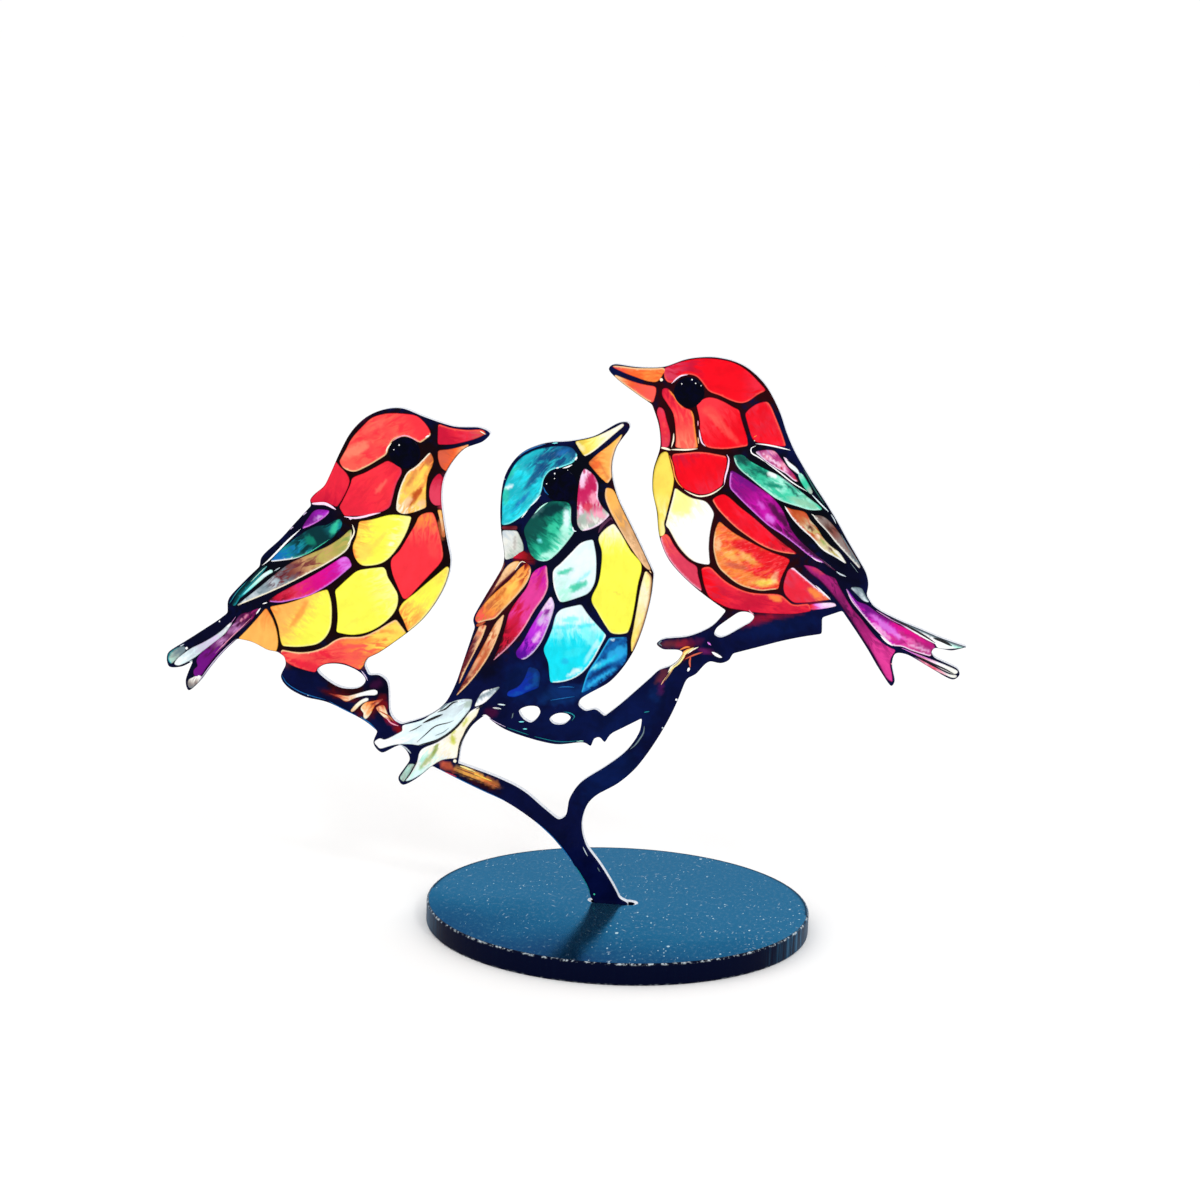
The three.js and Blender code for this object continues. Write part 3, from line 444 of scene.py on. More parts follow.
RIGHT_BIRD = [
    # head
    Pane("-6.1,139.1 -4.8,139.2 0,138.9 3.9,139.1 6.3,139.3 7,138.8 6.3,138.1 5.4,136.5 4.7,136 "
         "2.5,136.1 -0.3,136.9 -3.1,137.8 -5.1,138.6",
         "rosered tangerine tangerine orange tangerine", 0, ("peach", 90)),
    Pane("-5.5,137.1 -3.1,136.3 0.4,135.3 4.6,134.7 4.7,133.6 4.1,130.9 1.8,131.8 0,132.9 -3.1,134.9 "
         "-5.1,136.5",
         "peach tangerine coral coral", -20, ("peach", 200)),
    Pane("6.6,139.3 8.4,140.1 10.8,141.05 14.3,141.9 17.7,142.1 21.2,141.8 24,141 26.4,139.6 "
         "28.8,137.5 31,135.3 29.2,134.3 26.7,132.4 25,132 22.2,132.7 20,133.6 17.7,134.3 16.7,135.2 "
         "15.65,136.6 14.3,137.8 12.5,138.2 10.8,137.9 9.4,137 8.5,135.9 7.3,136.2 6.6,137.4",
         "rosered ruby scarlet scarlet scarlet scarlet crimson", 0, ("coral", -110)),
    Pane("5.6,130 6.6,129.4 7.5,126.7 8.4,123.9 8.5,121.8 8.2,120.4 6.7,120.2 6.6,121.8 6.3,124.2 "
         "5.8,126.7 5.2,128.7",
         "rosered crimson rosered", -80, (),
         [(7.2, 124.6, 0.4, 3, 10, "coral", 0.5)]),
    Pane("6.3,134.3 7.3,134.5 8.7,133.3 9.8,131.9 10.8,130.7 12.2,129.8 13.2,129.6 13.9,128.4 14.3,126 "
         "14.8,123.2 15.3,120.6 12.2,120.3 9.9,120.5 10.1,121.8 9.9,124.6 9.6,126.7 9.1,128.7 "
         "7.7,130.8 6.3,132.9",
         "ruby crimson poppy coral coral salmon", -75, ("orange", -10), marble=0.12),
    Pane("14.6,131.1 15.65,132 17.4,132.8 18.8,132.7 21.2,131.9 23.3,130.8 24.8,130.1 25.2,128.7 "
         "26,126.3 26.9,123.9 27.3,121.8 25,121.3 22.2,120.8 20,120.7 17.4,121.1 16.5,122.5 15.8,124.9 "
         "15.6,127.4 15.1,129.4",
         "poppy poppy scarlet scarlet", -50, ("coral", -80),
         [(21.4, 125.6, 5.6, 0.9, -42, "salmon", 0.45), (18.4, 129, 3, 1.3, -30, "coral", 0.5)]),
    Pane("27.1,130.3 28.5,131.5 29.9,132.2 31.4,132.6 32.1,131.9 33.7,128.7 35.4,124.9 36.4,122.2 "
         "34.7,122.2 31.6,122.6 29.3,122.9 28.5,123.5 27.4,126.3 26.4,129.4",
         "crimson scarlet crimson scarlet crimson", -60, ("coral", 25)),
    # bib and breast
    Pane("9.4,118.7 12.2,119.1 15,119.5 17.7,119.5 20,119.2 22.2,118.9 22.4,118 22.3,116.3 21.8,113.8 "
         "21.5,111.9 20.3,110.9 18.8,109.9 16.3,109.4 14.3,109.9 12.5,110.6 11.3,111.9 10.5,113.5 "
         "9.8,116.3 9.3,117.7",
         "ruby scarlet scarlet crimson", -60, ("coral", 90)),
    Pane("7.2,119.1 8,119.2 8.5,117.7 9.2,115.2 9.8,112.8 9.6,110.4 9.2,108.3 8.7,105.9 8.2,103.4 "
         "7.85,101.7 8.2,100 8,98.8 7.2,98.5 6.6,98.9 6.6,100 6.4,104 5.2,108.6 4.9,111 5,113.5 "
         "5.4,115.8 6.6,118.7",
         "gold gold gold gold butter butter", -90, ("mustard", 180), marble=0.12),
    Pane("10.3,110.55 12.2,109.3 14.3,108.3 17.7,107.6 18.9,106.4 19.8,104.8 19.5,103.1 19.1,100.7 "
         "18.9,97.5 19,95.4 19.4,92.4 17.5,92.5 15.5,93.05 13.6,94.4 11.7,96.5 10.3,98.7 9,100.8 "
         "8.4,101.2 8.8,103.1 9.3,105.4 9.9,108.1",
         "canary cream white white white", -55, ("cream", 180),
         [(11.8, 106.6, 2.8, 2.8, 30, "canary", 0.9)]),
    Pane("8.4,99.2 9.15,98.7 10.5,96.5 12.1,94.6 14,92.9 16.3,91.5 16.5,90 17.1,88 17.8,85.7 "
         "15.5,87.25 13.2,89.2 10.9,91.5 9,94 7.8,96.5 7.2,98.3",
         "coral rosered rosered rosered", -50, ("blush", 225)),
    Pane("17.5,91.3 19.4,91.7 20.9,90.5 22.9,88.8 25.6,87.25 29.1,86.1 32.2,85.9 36.8,85.9 38.3,84.9 "
         "39.9,83.8 43.8,84.2 44.5,82.6 40.7,81.7 36.8,81.4 31,81.4 27,81.8 24.8,82 22.1,83 19.8,84.35 "
         "18.4,87.25 17.9,89.2",
         "scarlet crimson ruby ruby crimson ruby", -10, ("coral", 70),
         [(35.8, 85.2, 2, 0.9, -15, "orange", 0.9), (24, 87, 4, 0.8, -30, "crimson", 0.6),
          (29, 82.6, 4, 0.7, 5, "ruby", 0.6)], marble=0.12),
    Pane("43.8,84 46.5,84.5 49.95,84.7 50.5,84.2 47.6,83.4 44.5,82.8",
         "crimson orchid pinkwhite pinkwhite", 8),
    Pane("39.5,92.9 40.7,91.9 43,90.15 45.3,88.4 48,86.5 49,85.7 46.9,85.3 44.5,84.8 42.2,84.5 "
         "40.3,84.4 38.7,85.5 37.8,86.7 37.6,88.8 38,90.5 38.5,92.1",
         "rosered crimson crimson rosered orange", -35, ("pinkwhite", 50),
         [(45.4, 87, 2, 1, -30, "orange", 0.9)]),
    Pane("21.3,103 22.9,101.75 25.2,100.2 28.3,98.7 31.4,97.3 34.9,95.95 37.6,95.2 38.7,94.6 37.8,92.7 "
         "36.8,90.3 36.2,87.4 34.9,87.25 32.2,86.8 29.8,87.1 26.7,88 24,89.8 21.7,91.9 20.75,94.2 "
         "20.25,96.5 20.25,98.9 20.6,101.2",
         "orange orange tangerine tangerine scarlet scarlet scarlet", 22, ("peach", 230),
         [(28, 97.4, 4.2, 1.4, -12, "scarlet", 0.9), (33.5, 94.4, 4.4, 1.8, -25, "scarlet", 0.95),
          (36.6, 92.6, 1.6, 2, 0, "scarlet", 0.8), (24.2, 95, 2, 1, -20, "apricot", 0.9),
          (28.6, 94.6, 3, 0.8, -30, "apricot", 0.9), (26, 92.4, 2.8, 0.7, -10, "brick", 0.9),
          (29.6, 90, 3.5, 0.8, -20, "orange", 0.8), (33.4, 88.9, 3, 0.9, 8, "gold", 0.95),
          (35.4, 90.4, 0.8, 1.6, -10, "peach", 0.7),
          (21.4, 97.4, 0.7, 2, 0, "peach", 0.8)], marble=0.18),
    # folded wing
    Pane("19.4,108.2 20.6,109.1 22.1,109.6 23.7,108.7 26,106.8 29.1,104.65 32.9,101.6 36,99.2 "
         "40.3,96.3 38.35,96.3 35.3,96.7 31.8,97.9 28.3,99.9 25.2,102 22.5,104.4 20.75,106.2",
         "scarlet scarlet crimson scarlet crimson blood", -40, ("salmon", 225)),
    Pane("23.6,115.6 25,114.9 29.2,112.5 33.3,109.9 36.2,106.8 38.7,101.9 40.7,99.6 43,97.7 47.2,94.4 "
         "43.8,95.8 39.9,98.6 36.8,100.7 33.3,102.75 29.9,105.5 26.7,108.3 25,109.9 23.6,111.4 "
         "23.4,112.8",
         "purple mulberry mulberry magenta mulberry plum plum plum", -40, ("orchid", 225),
         [(27, 113.4, 5, 0.9, -38, "purple", 0.7), (32.6, 105.4, 3, 1, -45, "magenta", 0.9),
          (35.6, 105.4, 4.4, 0.8, -50, "plum", 0.9), (33.6, 104.4, 1.6, 0.8, -45, "orchid", 0.9),
          (31.2, 107.6, 1.4, 0.5, -50, "orchid", 0.6)]),
    Pane("24.1,119.2 24.7,117.3 26,115.75 28.1,114.2 32.3,111.1 35.1,109.3 40.3,107.8 43,107.2 "
         "45.9,107.4 44.9,108.3 43.4,109.3 39.9,111.8 37.8,113.2 35.1,114.9 31.6,116.3 28.1,118 "
         "26,119.4",
         "pine emerald jade jade mint jade celadon", -32, ("mint", 235),
         [(26.4, 118.2, 2.2, 0.9, -30, "pine", 0.95), (28.8, 116.6, 2.4, 0.6, -38, "emerald", 0.9),
          (31.4, 115.4, 2.6, 0.4, -20, "pine", 0.8), (33.6, 115, 1.3, 0.7, -25, "white", 0.9),
          (34, 112.6, 2.2, 0.6, -10, "emerald", 0.9), (38.4, 111.8, 2.4, 0.4, -42, "pine", 0.8),
          (40.4, 109, 3, 0.7, -18, "celadon", 0.9)], marble=0.14),
    Pane("29.2,120.4 31.6,120.9 33.7,120.8 35.4,119 36.8,117.3 38.5,115.6 39.9,113.8 38.9,114 "
         "36.8,115.6 34.4,116.8 31.6,118.5",
         "mauve berry blush berry ruby oxblood", -45, ("pinkwhite", 225),
         [(33, 118.8, 2.6, 0.25, -32, "pinkwhite", 0.9),
          (36, 117, 2, 0.25, -40, "pinkwhite", 0.8)], marble=0.16),
    Pane("36.1,119.4 37.8,118 39.2,117 40.3,115.2 39,116.2 37.4,117.4",
         "white white", 0),
    Pane("39.6,116 40.4,115.8 41.8,114 43.4,111.4 43,110.9 41.8,112 40.2,114.4",
         "mint jade jade sage", -52, marble=0.12),
    Pane("37,107.5 38.35,107 41.8,106.4 43,104.65 44.9,102.7 46.1,100.8 48.4,98.5 50.3,97.3 52.3,94.6 "
         "49.6,96.1 46.5,97.7 43.8,100.4 41.4,102.3 38.7,105",
         "rust brick rust sand olive sand pearl", -42, ("white", 228),
         [(40.6, 105.2, 1.6, 0.4, -40, "terracotta", 0.8), (43.4, 102.8, 1, 0.5, -40, "umber", 0.8),
          (45, 101.2, 0.8, 0.4, -40, "cream", 0.8), (46.4, 99.6, 1, 0.4, -42, "moss", 0.9),
          (48.2, 98, 0.8, 0.35, -42, "umber", 0.7)], marble=0.14),
    Pane("43.8,105.8 45.7,105.8 47.2,105 48.8,103.5 50.7,101.2 52.3,99.2 54.2,96.5 55.6,94.2 55.6,93.6 "
         "54.2,95 51.9,97.3 49.6,99.6 47.2,102.3 44.9,104.5",
         "taupe umber taupe brown taupe taupe slate", -48, ("pearl", 228), marble=0.14),
    # tail
    Pane("42,93.6 44.8,93.2 47.6,91.5 49.7,90.8 50.4,89.6 51.8,87.3 54,84 56.6,81.2 58.8,78.6 61,76.4 "
         "63.3,74.9 65.2,74.2 64.1,72.2 64,70.5 64.6,68 64.8,66.2 63.6,66.9 61.6,69.9 59.6,73.2 "
         "57.3,76.4 55.4,79.2 53.4,82 51.2,84.8 49,87.3 46.2,90.1 43.7,91.8",
         "berry berry plum berry berry rose rose", -48, ("plum", 225),
         [(61.6, 72.6, 3, 1.6, -60, "rose", 0.6), (45.6, 92.4, 2, 0.5, -20, "rosered", 0.6)]),
    Pane("52.6,88.6 54,87 55.2,85.6 57.7,84.8 60.2,83.1 63,81.7 65.8,80.3 68.6,79.2 71.4,77.7 "
         "74.2,76.3 74.5,75.4 73.9,74.4 73.7,73.3 68.9,74.5 66.6,75.3 64.4,75.4 62.7,76.8 60.5,78.7 "
         "58.2,81 56,83.4 54,85.7",
         "grape purple magenta magenta rose berry berry", -30, ("pinkwhite", 232),
         [(66.5, 79.8, 7, 0.8, -28, "fuchsia", 0.9), (60, 83.2, 5, 0.8, -30, "purple", 0.8),
          (62.5, 80, 5, 0.8, -35, "orchid", 0.9), (61.4, 78.9, 3.4, 0.5, -42, "pinkwhite", 0.7),
          (69, 76.6, 4.6, 0.4, -22, "pinkwhite", 0.3), (70.6, 75.2, 3.4, 0.35, -18, "pinkwhite", 0.7)]),
    Pane("68,74.4 70,73.7 74,72.4 77,71.4 79.4,70.5 80.4,70 80.1,69.5 79.4,69.4 77,70.2 74,71.6 71,73",
         "berry blush pinkwhite white pearl", -20, marble=0.08),
    Pane("69.6,72.9 72,71.9 75,70.5 78.4,69.1 80.1,69 80.3,68.8 79.6,68.4 78,68.8 74.4,70.3 71,71.9",
         "deepblue blush rosered blush white pearl", -25, marble=0.08),
    Pane("53.6,88.8 55,89 56.3,88.8 57.1,87.3 58.3,85.6 57.1,85.8 55.4,87.2",
         "mist slate mist ice", -40, ("slate", 60)),
    Pane("63.8,81.9 68,80.5 72,79.1 76,77.6 79.6,76.6 81.4,76.1 80,75.8 77,75.4 75,75.6 74.8,76.4 "
         "72.3,77.4 68,79.6 65.5,81",
         "mauve lilac white white white mint", -18, ("slate", 72), marble=0.08),
]

# A stroke is (colour, width, "x,z" points); one of a single point is a dot
STROKES = [
    # left bird
    ("pinkwhite", 0.7, "-79.6,101.4 -78,101.5 -76,101.6 -74.6,101.1 -73.2,100.3"),
    ("pinkwhite", 0.5, "-71.1,98.7 -68.5,98.5 -66,99 -64.5,99.5 -62,100.2"),
    ("pinkwhite", 0.7, "-69.5,98.3"),
    ("cream", 0.35, "-60.9,115 -60.6,116.2 -59.6,117.6"),
    ("blush", 0.3, "-59.4,118 -58,119 -56.3,119.6 -54.6,119.1 -53,118.2"),
    ("white", 0.4, "-51.2,119.4 -50.2,120"),
    ("cream", 0.35, "-69,96.8 -68.5,95 -69.2,93.2 -70.2,91.6"),
    ("white", 0.3, "-91.4,75.5 -90.2,75.9"),
    ("cream", 0.25, "-37.8,121.7 -36.4,121"),
    ("white", 0.45, "-82,94.9 -85,92 -88,88.7 -90.3,86.3 -91.6,85.2"),
    ("lilac", 0.25, "-81.5,98.5 -80.5,99.2"),
    ("lilac", 0.25, "-84.8,94.8 -83.8,95.3"),
    ("mint", 0.2, "-90.5,85 -92.5,83 -94.5,80.8"),
    ("mist", 0.25, "-87,85 -88.5,84"),
    ("jade", 0.22, "-84,87.4 -80,89.1 -77,91.1 -74.6,92.9"),
    ("teal", 0.2, "-99.9,75 -98,78 -95.4,81"),
    # painted highlight: a lilac line along the tail's lower right edge, for the lit cut edge
    ("lilac", 0.2, "-97.9,66 -102,61 -107.5,54.8"),
    ("ice", 0.25, "-109.9,59.4 -109.3,59.8"),
    ("teal", 0.2, "-115.6,60.6 -115.1,61.4 -114,62.3 -112.6,63.1"),
    ("mauve", 0.15, "-99.6,69.8 -98.8,70.9 -98.2,71.8"),
    ("blush", 0.2, "-103.5,62 -99.5,66.3 -94,72"),
    ("white", 0.35, "-93,72.8 -91.9,74.4"),
    ("white", 0.7, "-110.8,62.9"),
    ("mist", 0.25, "-112.5,63.3 -111.4,63.9"),
    ("white", 0.4, "-102.4,70.3"),
    ("white", 0.5, "-107.8,56.1 -107.2,55.8"),
    # left perch
    ("azure", 0.18, "-86.2,57.6 -85,55.8 -82,54 -78.6,52.9 -75,52.2"),
    ("ice", 0.3, "-79.7,53.1 -79.2,53"),
    ("azure", 0.18, "-74,51.8 -70,49.8 -67,48.4"),
    ("azure", 0.25, "-66,48.4 -63.6,46.9 -62.1,45.4"),
    ("terracotta", 0.35, "-61.6,50.4 -59,49.2 -57.6,48"),
    ("blush", 0.3, "-59.6,48.8 -58.2,47.4 -56.4,46.8"),
    ("lilac", 0.25, "-66,60.2 -64.8,58.6 -64.4,57.8"),
    # middle bird
    ("white", 0.3, "-27,101 -25.5,103"),
    ("azure", 0.3, "-21.8,109 -21.3,107.9 -20.4,107"),
    ("lilac", 0.12, "-33.6,50.4 -31.4,49.3 -29.4,48.5"),
    ("teal", 0.12, "-29,48.3 -26,47.5 -23.6,46.9"),
    ("teal", 0.12, "-22,46.5 -16,45.7 -10.6,46.3"),
    ("white", 0.35, "-35.2,50.9 -34,50.4 -33.2,50.4"),
    ("white", 0.4, "-18.9,113.7 -18.1,113.9"),
    ("white", 0.35, "-17.2,113.8 -16,114.2 -14.9,114.8"),
    ("white", 0.5, "-14.3,115.9 -13.8,116.8"),
    ("white", 0.22, "-16,113.4"),
    ("ice", 0.35, "-25,103.9 -23.6,105.4 -22.4,107"),
    ("mint", 0.35, "-23.8,102.2 -22.2,104 -20.6,105.2"),
    ("aqua", 0.25, "-20,119.7 -18.6,119.9"),
    ("ice", 0.2, "-31.6,110.3 -31.2,110.3"),
    ("azure", 0.25, "-28.6,116 -25.6,118.2 -21.6,119.4"),
    ("ice", 0.4, "-14.4,99.6 -14,98.6 -13.4,98.5"),
    ("plum", 0.7, "-8,98.4 -7,100.4 -5,102.2 -4.6,101.6"),
    ("cream", 0.25, "-28.2,88 -26.6,90.2 -25.6,90"),
    ("brown", 0.3, "-31,89.8 -32.2,87.6"),
    ("oxblood", 0.25, "-36.6,77.6 -34,82 -31.6,86.6"),
    ("peach", 0.2, "4.9,90 5.3,89.4"),
    ("mist", 0.2, "-32.6,53.1 -31.6,53.1 -30.6,52.9"),
    ("white", 0.35, "-32.7,53.1 -30.7,53"),
    ("ice", 0.3, "-31.5,54.1 -29.6,54"),
    ("aqua", 0.3, "-26.1,50 -24.8,50.1"),
    ("aqua", 0.3, "-25,48.3 -24,48.3"),
    ("slate", 0.25, "-27.6,52.2 -27.8,51 -28,50.8"),
    ("teal", 0.25, "-15,53.3 -13.4,53.1 -12.3,52.4 -12.9,51.2"),
    ("azure", 0.25, "-16.6,59.4 -14.4,59.7 -12.6,59.7"),
    ("azure", 0.2, "-18.4,56 -15,56.8 -12.4,57.4"),
    ("mint", 0.2, "-11.6,46.1 -9.8,46.3"),
    ("white", 0.5, "-41.6,54.1 -41.1,54.2"),
    ("ink", 0.6, "-50.2,48 -47.6,49.4 -45.2,50.6"),
    ("ink", 0.6, "-51,42.3 -46,44.1 -42,47.3 -38.4,52"),
    ("ink", 0.45, "-41.3,40 -40.3,44 -39,47.4 -36.9,50.6"),
    ("ink", 0.4, "-46.6,51 -44.6,52 -42.8,53.6 -41.4,54.1"),
    ("slate", 0.5, "-46.4,52 -45.2,52.6 -44,53.4"),
    ("ink", 0.25, "-50.4,47.5 -52,46.4 -53.6,45.6"),
    ("ink", 0.28, "-51.6,43 -49.6,45 -47,47.4 -43.6,48.6 -42.4,49.2"),
    ("slate", 0.18, "-47,45 -45,46 -43.6,47.2"),
    ("slate", 0.16, "-59.4,42.5"),
    ("ink", 0.3, "-54.6,32.6 -53,35 -51.6,38"),
    ("ink", 0.25, "-37,52.4 -36,53 -35,53.6"),
    ("mist", 0.3, "-56.4,41.9 -54.6,41.4 -53,40"),
    ("cream", 0.9, "-41.9,38.8"),
    # limbs and stem
    ("butter", 0.45, "-40.6,37.7 -38.6,37.1 -37,36.5"),
    ("brown", 0.2, "-41.4,37.1 -38,36.1 -34.6,35.1"),
    ("gold", 0.3, "-37,35.9 -34.6,35.1 -32.4,34.4"),
    ("umber", 0.22, "-42.4,36.3 -38.4,35 -34.4,33.8"),
    ("terracotta", 0.3, "-34.4,34.2 -32.2,33.4 -30.8,32.9"),
    ("rosered", 0.2, "-44.4,35.9 -41.4,34.9"),
    ("butter", 0.25, "-38.8,37 -36.6,36.4"),
    ("azure", 0.18, "-46.6,36.6 -41,34.2 -35,31.9 -29,29.2"),
    ("azure", 0.2, "-21.4,24.6 -18,21.8 -14.6,18.2 -12,14.8"),
    ("slate", 0.18, "-16.6,20.6 -15,18.6"),
    ("teal", 0.2, "-11.2,13.6 -9,10.4 -7.4,7.4"),
    ("slate", 0.35, "5.1,51.2 4.9,49.4 4.2,48 3,46.2 1.8,45"),
    ("teal", 0.25, "4.9,54.6 6.2,54.9"),
    ("white", 0.6, "12.7,58.3"),
    ("mist", 0.45, "9.6,51"),
    ("mist", 0.25, "-9,19.2 -8.4,18 -7.8,17"),
    ("slate", 0.22, "-5.2,14.2 -4.6,13.2"),
    ("jade", 0.5, "-5.8,7.2"),
    # right bird
    ("pine", 0.3, "41,116.8 43.4,112.8 46.4,108.6"),
    ("ice", 0.3, "43.2,110.9 45.4,108.8 47.4,107"),
    ("mist", 0.25, "48,106.4 48.8,105.2 49.3,104.2"),
    ("slate", 0.14, "53.2,95 54.4,93.6 55.2,92.6"),
    ("cream", 0.8, "5.9,136.5"),
    ("pinkwhite", 0.35, "8.4,135.7 9.4,136.8 10.6,137.7 12.3,138.1"),
    ("cream", 0.5, "6.3,120.2 7.6,120 8.8,119.7"),
    ("cream", 0.4, "8.8,119.8 10.4,119.9 12.6,120 15.3,120.4"),
    ("cream", 0.35, "9.4,123.8 9.4,122.2 9,120.4"),
    ("pinkwhite", 0.35, "15.5,125 15.9,123 16.4,121.8 17.2,121.1"),
    ("blush", 0.25, "15.1,127.2 15.2,125.9"),
    ("peach", 0.25, "15.3,123.2 15.5,121.6"),
    ("white", 0.35, "29.2,122.4 31.4,122.3 33.8,122 37.6,121.3"),
    ("cream", 0.3, "28.9,123.1"),
    ("orange", 0.2, "28.6,123.9 29.4,124.4"),
    ("pinkwhite", 0.4, "22.4,119.4 22.9,118.4 22.8,116.3 22.3,114 22.1,112"),
    ("cream", 0.35, "22,111.9 20.5,110.5 18.6,109.4 16.3,108.9 14.2,109.4 12.6,110.2"),
    ("orange", 0.3, "12.2,110.6 11,111.8 10.1,113.5 9.5,116 8.6,118.4"),
    ("white", 0.3, "29.3,121.9 28.2,121.2 28.3,120.2 30,119.2 31.6,118.2"),
    ("white", 0.3, "31.6,118.2 35.1,115.9 38.5,113.5 42,111.6"),
    ("ice", 0.5, "37.7,117.6 39,116.8 40,115.6"),
    ("pinkwhite", 0.3, "36,119.5 37,118.9"),
    ("slate", 0.2, "35.6,114.8 38,113.2 40.4,111.2"),
    ("white", 0.25, "36.9,107.7 37.8,106.2"),
    ("pearl", 0.25, "43.4,106.2 44.4,105.4"),
    ("slate", 0.2, "50.6,101.8 52.6,98.6 54.6,95.6"),
    ("mist", 0.35, "50,92.6 51,92 52.4,91.5"),
    ("pinkwhite", 0.3, "43.8,95.8 45.2,95 46.5,94.6"),
    ("plum", 0.4, "45.6,95.8 48,94 49.8,92.8"),
    ("white", 0.3, "45.2,88.9 47.4,87 49,85.6"),
    ("orchid", 0.25, "52.6,88.5 54.4,85.9 57,82.8"),
    ("white", 0.45, "61.4,77.6 63,76.2 64.4,75.3"),
    ("orchid", 0.2, "66.6,74.9 70,73.6 74,72.5"),
    ("mauve", 0.25, "60,83.7 64,81.6 68,80"),
    ("ink", 0.4, "71,72.9 74.4,71.5 77,70.5 79.4,69.4"),
    ("ink", 0.7, "74,77.9 76.4,77.2 78.6,76.2"),
    ("ink", 0.5, "63.6,82.2 68,80.2 72,78.2 74.6,76.7"),
    ("slate", 0.2, "78.8,77.2 80.6,76.6 81.9,76.1"),
    ("blush", 0.35, "64.4,70.8"),
    # right perch
    ("butter", 0.75, "10.6,64.8 12,67 13.6,69.2 15.2,70.8 16.4,71.6"),
    ("tan", 0.4, "9.4,62.6 10.4,64.2 11.6,66"),
    ("apricot", 0.4, "13.4,69 14.2,70.4 15.8,71.4"),
    ("slate", 0.3, "8.6,71.5 7.9,72.1 8.6,72.8"),
    ("cream", 0.45, "10.4,65 11.8,67.6 13.4,69.8"),
    ("cream", 0.35, "15,70 16.4,71.2 17.6,71.8"),
    ("orange", 0.4, "13,70.8 14.6,71.6 15.6,71.7"),
    ("brick", 0.45, "15.8,69.4 15.6,68 15.8,66.6"),
    ("brick", 0.4, "14.4,68.6 16.6,69.8 18.6,70.6"),
    ("rosered", 0.3, "9,62 10,63.6 11,65.2"),
    ("peach", 0.3, "8.8,61.8 10,63.8"),
    ("white", 0.7, "20.9,70.8 22.4,70 23.4,69.6"),
    ("white", 0.6, "15.6,66.6 15.2,65.6"),
    ("orchid", 0.4, "19.7,73.2 20.6,72.5"),
    ("blush", 0.3, "29.4,81.8 30.6,80.6"),
]

